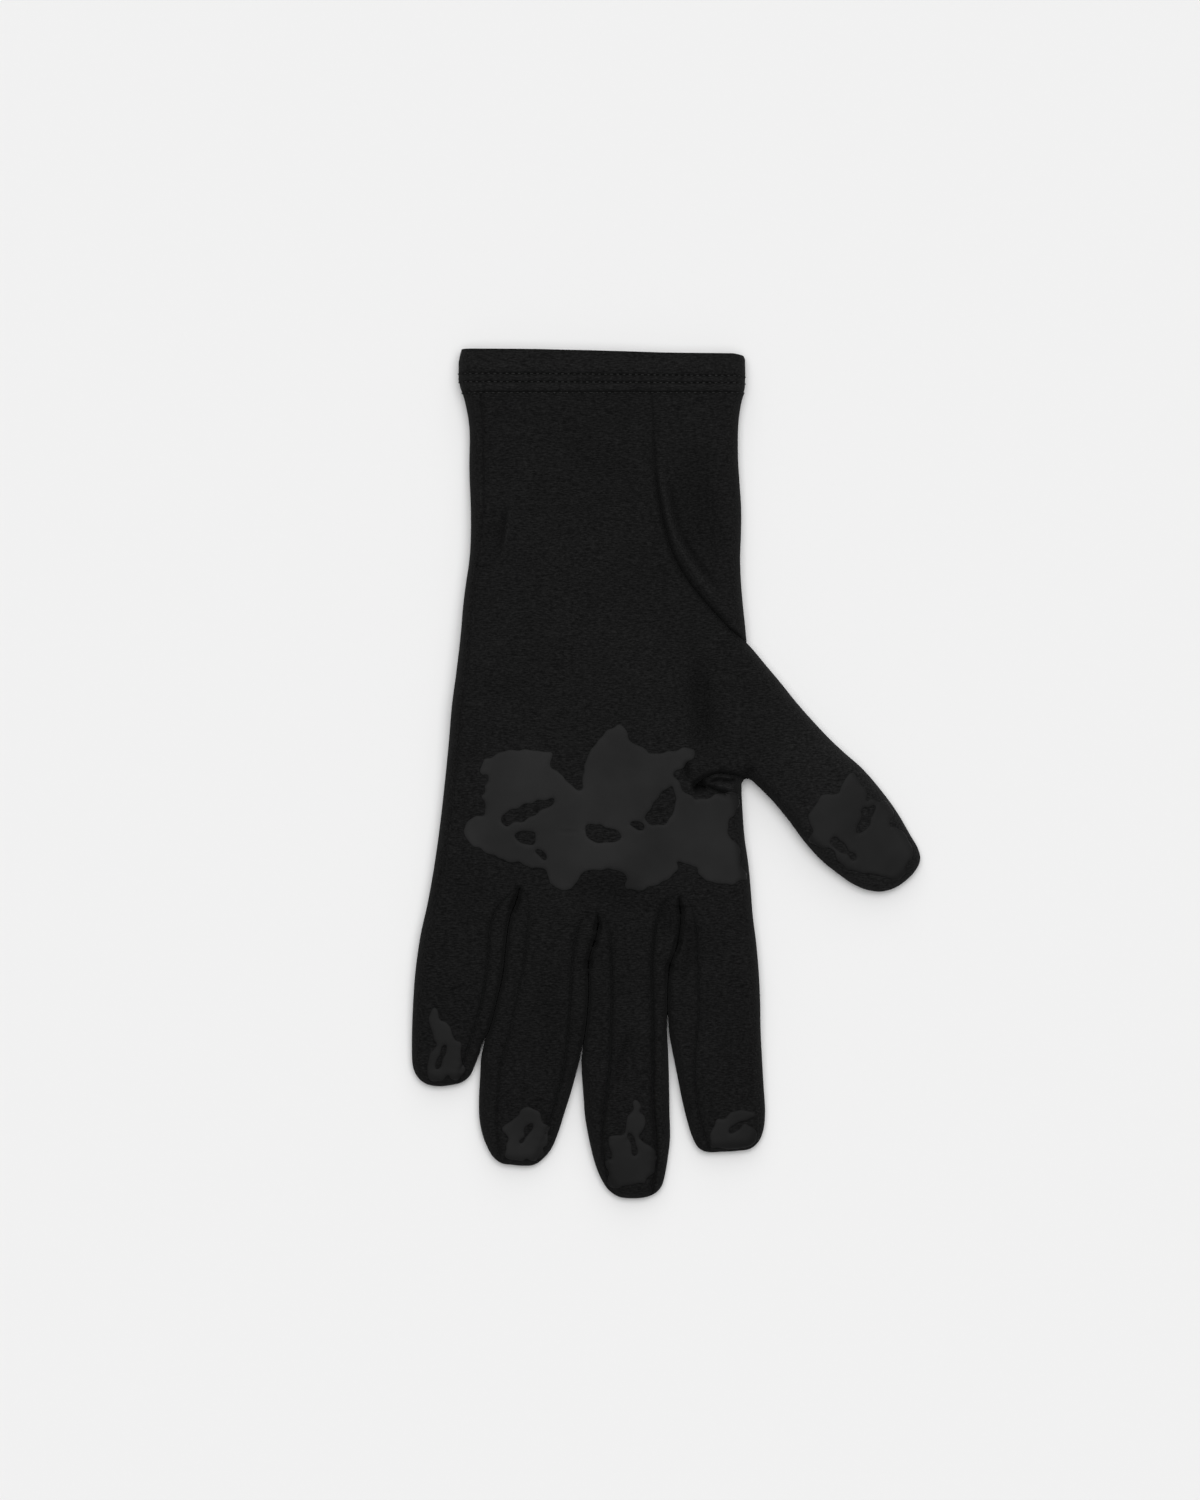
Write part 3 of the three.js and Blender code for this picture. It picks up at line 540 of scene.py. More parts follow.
class EdgeField:
    """How far plan points lie from a line, and what the line's samples hold there."""

    def __init__(self, edge: Array, held: Array | None = None) -> None:
        """Indexes the line's samples.

        Args:
            edge: The samples, as plan points in order.
            held: A value for each, or nothing for zeros.
        """
        self.edge = edge
        self.held = np.zeros(len(edge)) if held is None else held
        self.tree = KDTree(len(edge))
        for i, (x, y) in enumerate(edge):
            self.tree.insert((x, y, 0), i)
        self.tree.balance()

    def locate(self, points: Array) -> tuple[Array, Array]:
        """Finds each point's nearest place on the line.

        Args:
            points: Plan points.

        Returns:
            The distances to the line, and its values there.
        """
        near = np.array([self.tree.find((x, y, 0))[1] for x, y in points])
        best = np.full(len(points), np.inf)
        value = np.zeros(len(points))
        for shift in (-1, 0):
            first = np.clip(near + shift, 0, len(self.edge) - 2)
            start, step = self.edge[first], self.edge[first + 1] - self.edge[first]
            away = points - start
            square = np.maximum((step * step).sum(1), TINY_SQUARE)
            share = np.clip((away * step).sum(1) / square, 0, 1)
            gap = np.linalg.norm(away - share[:, None] * step, axis=1)
            closer = gap < best
            best[closer] = gap[closer]
            value[closer] = ((1 - share) * self.held[first] + share * self.held[first + 1])[closer]
        return best, value

    def distance(self, points: Array) -> Array:
        """The distance from each point to the line."""
        return self.locate(points)[0]


@dataclass(frozen=True)
class Crown:
    """How high the palm side stands over the floor about one place: pixels and millimetres."""

    x: float
    y: float
    height: float


CROWNS = (
    Crown(605, 400, 9.4), Crown(605, 480, 9.6), Crown(600, 570, 10.4), Crown(595, 680, 11.8),
    Crown(590, 790, 12.0), Crown(585, 870, 11.0), Crown(455, 900, 9.8), Crown(720, 900, 9.8),
    Crown(452, 980, 9.3), Crown(443, 1035, 8.0), Crown(440, 1080, 5.0), Crown(540, 940, 9.6),
    Crown(525, 1060, 9.2), Crown(520, 1120, 7.8), Crown(518, 1164, 4.8), Crown(630, 940, 9.6),
    Crown(630, 1070, 9.2), Crown(630, 1145, 7.8), Crown(632, 1196, 4.8), Crown(722, 980, 9.5),
    Crown(720, 1060, 9.0), Crown(725, 1110, 7.6), Crown(728, 1152, 4.8), Crown(735, 700, 10.6),
    Crown(800, 770, 10.6), Crown(850, 820, 9.6), Crown(885, 855, 7.6), Crown(915, 882, 5.0),
)


@dataclass
class Drape:
    """The cloth's own surface: where its edge runs, how high it stands over the floor, and its painted
    light.

    Attributes:
        rim_share: The height of the seams along outer edges, as a share of the cloth's there.
        turn: How far in from an outer edge the cloth turns over.
        pressed_turn: The same where two fingers lie against each other.
        pressed_hold: How far from there that turn holds.
        pressed_reach: How much further the cloth comes back to its outer turn.
        touching: Two edges this near to each other touch.
        squeeze: How far two such edges go into each other.
        shoulder: How far in it goes on rising gently.
        shoulder_share: The share of its height that it gains on the shoulder.
        crown_reach: How far a crown's height is felt.
        least_weight: What the crowns' weights add to, where all of them are far.
        felt: How many times its reach away a crease is last felt.
        pucker_wave: The thread's waves beside a seam, as uneven_wave takes them.
        pucker_reach: How far from a seam they are felt.
        full_shade: A dip that reaches further than this gets less painted shade and highlight.
        shade: How much painted shade a dip puts into the cloth's colour.
        bloom: How much painted highlight a ridge puts into the cloth's colour.
        painted_light_range: The most painted shade and highlight that dips and ridges give, as powers of
            e.
        cleft_shade: The share of its colour that painted shade takes away where two fingers touch.
        cleft_reach: How far from there that is felt.
        cleft_power: How sharply that ends where the fingers part.
        painted_rim_sheen: How much lighter its colour is painted along outer edges, as a share: painted
            sheen.
        painted_rim_sheen_reach: How far from there that is felt.
        edge_spacing: The distance between samples of the edge.
        crease_spacing: The distance between samples of a crease.
        snap: A seam's end this near to a sample of the edge goes onto it.
        probe: The step over which slopes are measured.
        ripples: The lengths of its slow waves, and their rises.
        ripple_waves: How many waves there are of each length.
        seed: The seed of the waves' directions.
    """

    rim_share: float = 0.36
    turn: float = 4.0 * MM
    pressed_turn: float = 1.25 * MM
    pressed_hold: float = 0.5 * MM
    pressed_reach: float = 9 * MM
    touching: float = 0.1 * MM
    squeeze: float = 0.09 * MM
    shoulder: float = 12 * MM
    shoulder_share: float = 0.12
    crown_reach: float = 17 * MM
    least_weight: float = 1e-9
    felt: float = 5.0
    pucker_wave: tuple[float, float, float] = (1.9, 1.7, 0.31)
    pucker_reach: float = 2.6 * MM
    full_shade: float = 1 * MM
    shade: float = 0.42
    bloom: float = 0.3
    painted_light_range: tuple[float, float] = (-1.9, 0.3)
    cleft_shade: float = 0.6
    cleft_reach: float = 0.5 * MM
    cleft_power: int = 4
    painted_rim_sheen: float = 0.9
    painted_rim_sheen_reach: float = 1.1 * MM
    edge_spacing: float = 0.8 * MM
    crease_spacing: float = 1.5 * MM
    snap: float = 2 * MM
    probe: float = 0.25 * MM
    ripples: tuple[tuple[float, float], ...] = (
        (62 * MM, 0.2 * MM), (34 * MM, 0.13 * MM), (19 * MM, 0.07 * MM),
    )
    ripple_waves: int = 3
    seed: int = 11
    edge: Array = field(init=False)
    mouth: Array = field(init=False)
    edges: EdgeField = field(init=False)
    apart: Array = field(init=False)
    lines: dict[Side, list[Array]] = field(init=False)

    def __post_init__(self) -> None:
        """Lays out the edge, the mouth under the hem, and the seams."""
        stretches = self.stretches()
        smooth = [spline(PHOTO.plan(each), self.edge_spacing) for each in stretches]
        self.edge = np.vstack([smooth[0], *(each[1:] for each in smooth[1:])])
        self.mouth = resample(self.edge[[-1, 0]], self.edge_spacing)
        gaps = [np.full(len(each), np.inf) for each in smooth]
        for left in range(len(FORKS)):
            for here, there in ((left, left + 1), (left + 1, left)):
                gaps[here] = np.minimum(gaps[here], nearest_on_path(smooth[here], smooth[there])[0])
        self.apart = np.concatenate([gaps[0], *(each[1:] for each in gaps[1:])])
        self.edges = EdgeField(self.edge, self.turns(self.edge))
        corners = np.vstack([self.edge, self.mouth])
        self.lines = {side: [] for side in Side}
        for side, group in seam_groups().items():
            for each in group:
                line = spline(PHOTO.plan(each.path), self.edge_spacing)
                self.lines[side].append(self.snapped(line, corners))

    def turns(self, points: Array) -> Array:
        """Finds how far in the cloth turns over.

        Args:
            points: Points of the edge.

        Returns:
            The turn at each of them.
        """
        gap = np.full(len(points), np.inf)
        for fork in FORKS:
            path = PHOTO.plan([(x, y) for x, y, _ in fork.contact])
            gap = np.minimum(gap, nearest_on_path(points, path)[0])
        away = smoothstep((gap - self.pressed_hold) / self.pressed_reach)
        return self.pressed_turn + (self.turn - self.pressed_turn) * away

    def pressed(self, points: Array) -> Array:
        """Moves the edge a little outwards where two fingers touch, so that no light comes between.

        Args:
            points: Plan points, the edge's own samples among them.

        Returns:
            The same points, with those samples moved.
        """
        tree = KDTree(len(points))
        for i, (x, y) in enumerate(points):
            tree.insert((x, y, 0), i)
        tree.balance()
        moved = points.copy()
        outward = -left_normals(self.edge) * self.squeeze
        for i in np.flatnonzero(self.apart < self.touching).tolist():
            x, y = self.edge[i]
            moved[tree.find((x, y, 0))[1]] += outward[i]
        return moved

    @staticmethod
    def stretches() -> list[Pixels]:
        """Puts the edge's stretches together, with the clefts between the fingers let in.

        Returns:
            The stretches in order, in pixels.
        """
        fingers = [LITTLE_EDGE, RING_EDGE, MIDDLE_EDGE, INDEX_EDGE]
        made = []
        for i, edge in enumerate(fingers):
            down = FORKS[i - 1].side(1) if i > 0 else []
            up = FORKS[i].side(-1)[::-1] if i < len(FORKS) else []
            made.append([*down, *edge, *up])
        return [*made, THUMB_EDGE, CUFF_EDGE]

    def snapped(self, line: Array, corners: Array) -> Array:
        """Moves the ends of a seam onto the edge's samples, where they come near one.

        Args:
            line: The seam's points.
            corners: The edge's samples.

        Returns:
            The seam's points after that.
        """
        line = line.copy()
        for end in (0, -1):
            gaps = np.linalg.norm(corners - line[end], axis=1)
            if gaps.min() < self.snap:
                line[end] = corners[gaps.argmin()]
        return line

    @property
    def loop(self) -> Array:
        """The whole outline of the cloth, without a repeated point."""
        return np.vstack([self.edge, self.mouth[1:-1]])

    def rise(self, gap: Array, turn: Array | float) -> Array:
        """Finds how much of its height the cloth has near an edge.

        Args:
            gap: Distances from the edge.
            turn: How far in the cloth turns over there.

        Returns:
            Shares from 0 at the edge to 1.
        """
        steep = np.sqrt(1 - (1 - np.clip(gap / turn, 0, 1)) ** 2)
        gentle = np.sqrt(1 - (1 - np.clip(gap / self.shoulder, 0, 1)) ** 2)
        return (1 - self.shoulder_share) * steep + self.shoulder_share * gentle

    def rim(self, points: Array) -> Array:
        """The height of the edge's seam nearest to each point."""
        return self.rim_share * self.loft(points)

    def loft(self, points: Array) -> Array:
        """Finds the palm side's full height, before it turns down at the edges.

        Args:
            points: Plan points.

        Returns:
            The height at each of them.
        """
        total = np.zeros(len(points))
        weight = np.full(len(points), self.least_weight)
        for crown in CROWNS:
            away = points - PHOTO.plan([(crown.x, crown.y)])[0]
            near = np.exp(-(away**2).sum(1) / self.crown_reach**2)
            total += near * crown.height * MM
            weight += near
        return total / weight

    def ripple(self, points: Array) -> Array:
        """Makes the slow waves of cloth that nothing holds flat.

        Args:
            points: Plan points.

        Returns:
            What the waves add to the height at each of them.
        """
        rng = np.random.default_rng(self.seed)
        total = np.zeros(len(points))
        for length, rise in self.ripples:
            for _ in range(self.ripple_waves):
                angle, phase = rng.uniform(0, 2 * math.pi, 2)
                along = points @ np.array([math.cos(angle), math.sin(angle)])
                total += rise * np.sin(2 * math.pi * along / length + phase)
        return total

    def dent(self, points: Array, crease: Crease, path: Array) -> Array:
        """Finds what one crease adds to the height.

        Args:
            points: Plan points.
            crease: The crease.
            path: Its line, as plan points.

        Returns:
            What it adds at each point.
        """
        added = np.zeros(len(points))
        far = crease.reach * self.felt
        low, high = path.min(0) - far, path.max(0) + far
        close = ((points > low) & (points < high)).all(1)
        gap, place = nearest_on_path(points[close], path)
        length = run_of(path)[-1]
        ends = np.ones(len(gap))
        if crease.fade:
            ends = smoothstep(np.minimum(place, length - place) / (crease.fade * length))
        if crease.faint:
            ends *= TRACE + (1 - TRACE) * smoothstep(place / (crease.faint * length))
        shape = crease.profile(gap)
        waves = crease.pucker * uneven_wave(place, *self.pucker_wave)
        waves *= np.exp(-((gap / self.pucker_reach) ** 2))
        added[close] = ends * (waves - crease.depth * shape)
        return added

    def dips(self, side: Side) -> Iterable[tuple[Crease, Array]]:
        """Goes through every seam and crease of one side.

        Args:
            side: The side.

        Returns:
            Each of them with its line, as plan points.
        """
        yield from zip(seam_groups()[side], self.lines[side])
        if side is Side.PALM:
            for crease in CREASES:
                yield crease, spline(PHOTO.plan(crease.path), self.crease_spacing)

    def relief(self, points: Array, side: Side) -> Array:
        """Finds what seams, creases and slow waves add to one side's height.

        Args:
            points: Plan points.
            side: The side.

        Returns:
            What they add at each point.
        """
        total = self.ripple(points) if side is Side.PALM else np.zeros(len(points))
        for crease, path in self.dips(side):
            total += self.dent(points, crease, path)
        return total

    def nap(self, points: Array, side: Side) -> Array:
        """Finds the painted light: painted shade in seams, folds and clefts, painted highlight on ridges
        and rims.

        Args:
            points: Plan points.
            side: The side that they are on.

        Returns:
            What the cloth's colour is multiplied by at each point.
        """
        total = np.zeros(len(points))
        for crease, path in self.dips(side):
            total += self.dent(points, crease, path) / max(crease.reach, self.full_shade)
        # Painted shade in dips and painted highlight on ridges, stronger where a dip is narrow.
        change = np.where(total < 0, self.shade, self.bloom) * total
        painted_crease_light = np.exp(np.clip(change, *self.painted_light_range))
        # Painted shade where two fingers touch, and painted sheen along the outer edges.
        gap, turn = self.edges.locate(points)
        outer = (turn - self.pressed_turn) / (self.turn - self.pressed_turn)
        close = np.exp(-gap / self.cleft_reach) * (1 - outer) ** self.cleft_power
        pressed = 1 - self.cleft_shade * close
        return painted_crease_light * pressed * (1 + self.painted_rim_sheen * np.exp(-gap / self.painted_rim_sheen_reach) * outer)

    def height(self, points: Array, side: Side) -> Array:
        """Finds how high the outer face of the cloth is over the floor.

        Args:
            points: Plan points.
            side: The side that they are on.

        Returns:
            The height at each of them.
        """
        rise = self.rise(*self.edges.locate(points))
        rim = self.rim(points)
        if side is Side.PALM:
            return rim + (self.loft(points) - rim + self.relief(points, side)) * rise
        return np.maximum(rim * (1 - rise) - self.relief(points, side) * rise, 0)

    def surface(self, points: Array, lift: Array) -> Array:
        """Lifts points off the palm side, square to its face.

        Args:
            points: Plan points.
            lift: How far each is lifted.

        Returns:
            Points in space.
        """
        step = self.probe
        here = self.height(points, Side.PALM)
        slope_x = (self.height(points + [step, 0], Side.PALM) - here) / step
        slope_y = (self.height(points + [0, step], Side.PALM) - here) / step
        normal = np.column_stack([-slope_x, -slope_y, np.ones(len(points))])
        normal /= np.linalg.norm(normal, axis=1, keepdims=True)
        return np.column_stack([points, here]) + normal * lift[:, None]


@dataclass
class PlanNet:
    """A plan cut into triangles, with fixed lines along its outline and its seams.

    Attributes:
        loops: Closed outlines, without repeated points; all but the first are holes.
        lines: Open lines that no triangle crosses.
        free: Points that the triangles may use, in order of weight.
        spacing: How close each free point may come to another.
    """

    loops: list[Array]
    lines: list[Array]
    free: Array
    spacing: Array
    points: Array = field(init=False)
    triangles: Array = field(init=False)
    fixed: set[tuple[int, int]] = field(init=False)

    def __post_init__(self) -> None:
        """Cuts the plan."""
        corners: list[Array] = []
        edges: list[tuple[int, int]] = []
        count = 0
        for path, closed in [(p, True) for p in self.loops] + [(p, False) for p in self.lines]:
            numbers = list(range(count, count + len(path)))
            edges += list(zip(numbers, numbers[1:] + numbers[:1] if closed else numbers[1:]))
            corners.append(path)
            count += len(path)
        held = np.vstack(corners)
        kept = self.thinned(held)
        every = np.vstack([held, kept])
        # 0 asks for every triangle, and True for the numbers of the edges that went in.
        made = delaunay_2d_cdt([Vector(p) for p in every], edges, [], 0, CUT_TOLERANCE, True)
        self.points = np.array([tuple(p) for p in made[0]])
        triangles = np.array(made[2])
        centres = self.points[triangles].mean(1)
        within = inside(centres, self.loops[0])
        for hole in self.loops[1:]:
            within &= ~inside(centres, hole)
        self.triangles = triangles[within]
        self.fixed = {tuple(sorted(e)) for e, old in zip(made[1], made[4]) if old}

    def thinned(self, held: Array) -> Array:
        """Picks free points that keep their distance from the fixed ones and from each other.

        Args:
            held: The fixed points.

        Returns:
            The free points that stay.
        """
        cell = float(self.spacing.max())
        taken: dict[tuple[int, int], list[tuple[float, float]]] = {}
        for x, y in held:
            taken.setdefault((int(x // cell), int(y // cell)), []).append((x, y))
        kept = []
        for (x, y), least in zip(self.free.tolist(), self.spacing.tolist()):
            i, j = int(x // cell), int(y // cell)
            around = (p for a in (-1, 0, 1) for b in (-1, 0, 1) for p in taken.get((i + a, j + b), ()))
            if all((px - x) ** 2 + (py - y) ** 2 >= least * least for px, py in around):
                taken.setdefault((i, j), []).append((x, y))
                kept.append((x, y))
        return np.array(kept)

    def regions(self, seeds: Iterable[tuple[str, Array]]) -> dict[str, Array]:
        """Parts the triangles along the fixed lines.

        Args:
            seeds: Names, each with a plan point in the region that it names.

        Returns:
            The triangles of each name.
        """
        edge_faces: dict[tuple[int, int], list[int]] = {}
        for number, (a, b, c) in enumerate(self.triangles.tolist()):
            for pair in ((a, b), (b, c), (c, a)):
                edge_faces.setdefault(tuple(sorted(pair)), []).append(number)
        beside: list[list[int]] = [[] for _ in range(len(self.triangles))]
        for pair, faces in edge_faces.items():
            if len(faces) == 2 and pair not in self.fixed:
                beside[faces[0]].append(faces[1])
                beside[faces[1]].append(faces[0])
        centres = self.points[self.triangles].mean(1)
        owner: list[str | None] = [None] * len(self.triangles)
        for name, seed in seeds:
            start = int(np.linalg.norm(centres - seed, axis=1).argmin())
            if owner[start] not in (None, name):
                raise ValueError(f"{name} and {owner[start]} run into each other at a seam")
            stack = [start]
            while stack:
                face = stack.pop()
                if owner[face] is None:
                    owner[face] = name
                    stack.extend(beside[face])
        names = np.array([each or "" for each in owner])
        return {name: self.triangles[names == name] for name in sorted(set(names) - {""})}


def mesh_object(name: str, points: Array, faces: Iterable[Sequence[int]]) -> Piece:
    """Makes an object at the origin from points in metres and faces that face out.

    Args:
        name: Its name.
        points: Rows of x, y and z.
        faces: Rows of point numbers.

    Returns:
        The object, linked to the scene and smooth shaded.
    """
    mesh = bpy.data.meshes.new(name)
    mesh.from_pydata(np.asarray(points).tolist(), [], [list(map(int, f)) for f in faces])
    mesh.validate()
    mesh.polygons.foreach_set("use_smooth", [True] * len(mesh.polygons))
    made = bpy.data.objects.new(name, mesh)
    bpy.context.scene.collection.objects.link(made)
    return made


def keep_painted_light(made: Piece, nap: Array) -> None:
    """Keeps the cloth's painted shade and highlight with an object's points, where its material finds
    it.
    """
    made.data.attributes.new(PAINTED_LIGHT, "FLOAT", "POINT").data.foreach_set("value", nap.astype(np.float32))


def compact(points: Array, faces: Array) -> tuple[Array, Array]:
    """Finds the points that faces need, one for each place.

    Args:
        points: Points in space.
        faces: Rows of their numbers.

    Returns:
        The numbers of the points that are needed, and the faces in those points' new numbers.
    """
    rounded = np.round(points / SAME_PLACE).astype(np.int64)
    _, first, inverse = np.unique(rounded, axis=0, return_index=True, return_inverse=True)
    faces = first[inverse.reshape(-1)[faces]]
    used, numbers = np.unique(faces, return_inverse=True)
    return used, numbers.reshape(-1, faces.shape[1])


def skin_area(points: Array, faces: Array) -> float:
    """The area of a skin of triangles."""
    a, b, c = (points[faces[:, k]] for k in range(3))
    return float(np.linalg.norm(np.cross(b - a, c - a), axis=1).sum() / 2)


class Nodes:
    """A short way to lay out a material's nodes."""

    # The Mix node's sockets for colours: its share and its two colours, and what comes out.
    MIX_INPUTS = (0, 6, 7)
    MIX_OUTPUT = 2

    def __init__(self, name: str) -> None:
        """Starts a material with a bare shader and a texture coordinate.

        Args:
            name: The material's name.
        """
        self.material = bpy.data.materials.new(name)
        self.material.use_nodes = True
        self.tree = self.material.node_tree
        self.shader = self.tree.nodes["Principled BSDF"]
        self.place = self.tree.nodes.new("ShaderNodeTexCoord").outputs["Object"]

    def add(
        self, kind: str, inputs: dict[str, object] | None = None, **settings: object
    ) -> bpy.types.Node:
        """Adds a node.

        Args:
            kind: The node's type.
            inputs: Values, or the sockets that feed them, by socket name.
            **settings: The node's own properties.

        Returns:
            The node.
        """
        node = self.tree.nodes.new(kind)
        for key, value in settings.items():
            setattr(node, key, value)
        for key, value in (inputs or {}).items():
            self.feed(node.inputs[key], value)
        return node

    def feed(self, socket: Socket, value: object) -> None:
        """Links a socket to another, or sets its value.

        Args:
            socket: The socket that is fed.
            value: The other socket, or the value.
        """
        if isinstance(value, Socket):
            self.tree.links.new(value, socket)
        else:
            socket.default_value = value

    def noise(self, size: float, detail: float = 2.0, longer: float = 1.0) -> Socket:
        """Makes a soft random grain.

        Args:
            size: About how wide a grain is, in metres.
            detail: How many finer grains there are in it.
            longer: How many times longer it is along X.

        Returns:
            The grain's socket, from 0 to 1.
        """
        shrunk = self.add("ShaderNodeMapping", {"Vector": self.place, "Scale": (1 / longer, 1, 1)})
        inputs = {"Vector": shrunk.outputs["Vector"], "Scale": 1 / size, "Detail": detail}
        return self.add("ShaderNodeTexNoise", inputs).outputs["Fac"]

    def ramp(self, fac: Socket, stops: Sequence[tuple[float, float]]) -> Socket:
        """Makes a grey ramp.

        Args:
            fac: The value that it reads.
            stops: Its stops, as place and brightness.

        Returns:
            The colour's socket.
        """
        node = self.add("ShaderNodeValToRGB", {"Fac": fac})
        for element, (place, grey) in zip(node.color_ramp.elements, (stops[0], stops[-1])):
            element.position, element.color = place, (grey, grey, grey, 1)
        for place, grey in stops[1:-1]:
            node.color_ramp.elements.new(place).color = (grey, grey, grey, 1)
        return node.outputs["Color"]

    def product(self, a: Socket, b: Socket) -> Socket:
        """Multiplies two colours.

        Args:
            a: One colour.
            b: The other.

        Returns:
            The product's socket.
        """
        node = self.add("ShaderNodeMix", data_type="RGBA", blend_type="MULTIPLY")
        share, first, second = (node.inputs[k] for k in self.MIX_INPUTS)
        self.feed(share, 1.0)
        self.feed(first, a)
        self.feed(second, b)
        return node.outputs[self.MIX_OUTPUT]

    def math(self, operation: str, a: object, b: object) -> Socket:
        """Does one step of arithmetic.

        Args:
            operation: Its name.
            a: The first socket or number.
            b: The second.

        Returns:
            The result's socket.
        """
        node = self.add("ShaderNodeMath", operation=operation)
        self.feed(node.inputs[0], a)
        self.feed(node.inputs[1], b)
        return node.outputs[0]

    def graded(self, axis: str, low: float, high: float, at_low: float, at_high: float) -> Socket:
        """Makes a value that changes evenly along the object.

        Args:
            axis: X, Y or Z.
            low: Where the change starts.
            high: Where it ends.
            at_low: The value up to its start.
            at_high: The value from its end on.

        Returns:
            The value's socket.
        """
        place = self.add("ShaderNodeSeparateXYZ", {"Vector": self.place}).outputs[axis]
        span = {"Value": place, "From Min": low, "From Max": high, "To Min": at_low, "To Max": at_high}
        return self.add("ShaderNodeMapRange", span).outputs["Result"]

    def bump(self, height: Socket, depth: float, strength: float) -> None:
        """Gives the shader a bump from a height between 0 and 1."""
        node = self.add("ShaderNodeBump", {"Height": height, "Distance": depth, "Strength": strength})
        self.feed(self.shader.inputs["Normal"], node.outputs["Normal"])


@dataclass(frozen=True)
class JerseyFinish:
    """Brushed jersey in heathered black.

    Attributes:
        name: The material's name.
        grey: The cloth's mean colour, as a linear grey.
        heather: How far single yarns stray from it, as a share.
        lighter: How many times further they stray to the light than to the dark.
        yarn: The height of a yarn's streak.
        streak: How many times longer than high the streaks are, across the glove.
        tuft: The size of the fleece's tufts.
        cloud: The size of its slow patches.
        patchy: How far those stray, as a share.
        sheen: The weight of the fleece's bloom at glancing angles.
        grain: The depth of the knit.
        fingers: Painted shade: how much darker the cloth is painted towards the fingertips, where the
            light falls off: places along Y, and the factors there.
        thumb: Painted light: how much lighter it is painted on the thumb, which faces the light: places
            along X, and the factors there.
    """

    name: str = "brushed_jersey"
    grey: float = 0.0086
    heather: float = 0.4
    lighter: float = 1.3
    yarn: float = 0.34 * MM
    streak: float = 4.0
    tuft: float = 0.55 * MM
    cloud: float = 22 * MM
    patchy: float = 0.05
    sheen: float = 0.02
    grain: float = 0.1 * MM
    fingers: tuple[float, float, float, float] = (-70 * MM, 0.0, 0.92, 1.0)
    thumb: tuple[float, float, float, float] = (26 * MM, 46 * MM, 1.0, 1.2)

    def material(self) -> Material:
        """Makes the material.

        Returns:
            The material, with its nodes laid out.
        """
        n = Nodes(self.name)
        streaks = n.noise(self.yarn, 3.0, self.streak)
        fleece = n.noise(self.tuft, 3.0)
        low, high = 1 - self.heather, 1 + self.lighter * self.heather
        yarns = n.ramp(streaks, ((0.34, self.grey * low), (0.5, self.grey), (0.68, self.grey * high)))
        tufts = n.ramp(fleece, ((0.34, 1 - self.heather / 2), (0.66, 1 + self.heather / 2)))
        clouds = n.ramp(n.noise(self.cloud), ((0.3, 1 - self.patchy), (0.7, 1 + self.patchy)))
        # Painted shade and highlight, kept with the points, multiply the cloth's colour.
        nap = n.add("ShaderNodeAttribute", attribute_name=PAINTED_LIGHT).outputs["Fac"]
        # Painted light: the cloth is painted darker towards the fingertips and lighter on the thumb.
        painted_falloff = n.math("MULTIPLY", n.graded("Y", *self.fingers), n.graded("X", *self.thumb))
        light = n.product(clouds, n.math("MULTIPLY", nap, painted_falloff))
        n.feed(n.shader.inputs["Base Color"], n.product(n.product(yarns, tufts), light))
        n.bump(n.math("ADD", streaks, fleece), self.grain, 0.8)
        n.feed(n.shader.inputs["Roughness"], 1.0)
        n.feed(n.shader.inputs["Specular IOR Level"], 0.0)
        n.feed(n.shader.inputs["Sheen Weight"], self.sheen)
        n.feed(n.shader.inputs["Sheen Roughness"], 0.5)
        return n.material


@dataclass(frozen=True)
class PrintFinish:
    """Satin silicone print, a shade lighter than the cloth.

    Attributes:
        name: The material's name.
        grey: Its mean colour, as a linear grey.
        cloud: The size of its slow patches.
        patchy: How far those stray, as a share.
        roughness: How satin it is.
        uneven: How far that strays.
        gloss: The strength of its reflections.
        pores: The size of the small pores in its face.
        pore_depth: Their depth.
        palm: Painted light: how much lighter it is painted at the palm's left, for how its curve meets
            the light: places along X, and the factors there.
        fingers: How it is darker on the fingers: places along Y, and the factors there.
    """

    name: str = "satin_print"
    grey: float = 0.0138
    cloud: float = 16 * MM
    patchy: float = 0.14
    roughness: float = 0.55
    uneven: float = 0.05
    gloss: float = 0.04
    pores: float = 0.9 * MM
    pore_depth: float = 0.03 * MM
    palm: tuple[float, float, float, float] = (-30 * MM, 30 * MM, 1.14, 0.9)
    fingers: tuple[float, float, float, float] = (-70 * MM, -40 * MM, 0.82, 1.0)

    def material(self) -> Material:
        """Makes the material.

        Returns:
            The material, with its nodes laid out.
        """
        n = Nodes(self.name)
        low, high = self.grey * (1 - self.patchy), self.grey * (1 + self.patchy)
        clouds = n.ramp(n.noise(self.cloud), ((0.34, low), (0.66, high)))
        # Painted light: the print is painted lighter at the palm's left and darker on the fingers.
        painted_print_light = n.math("MULTIPLY", n.graded("X", *self.palm), n.graded("Y", *self.fingers))
        n.feed(n.shader.inputs["Base Color"], n.product(clouds, painted_print_light))
        skin = n.noise(self.pores, 3.0)
        n.bump(skin, self.pore_depth, 0.3)
        low, high = self.roughness - self.uneven, self.roughness + self.uneven
        satin = n.add("ShaderNodeMapRange", {"Value": skin, "To Min": low, "To Max": high})
        n.feed(n.shader.inputs["Roughness"], satin.outputs["Result"])
        n.feed(n.shader.inputs["Specular IOR Level"], self.gloss)
        return n.material


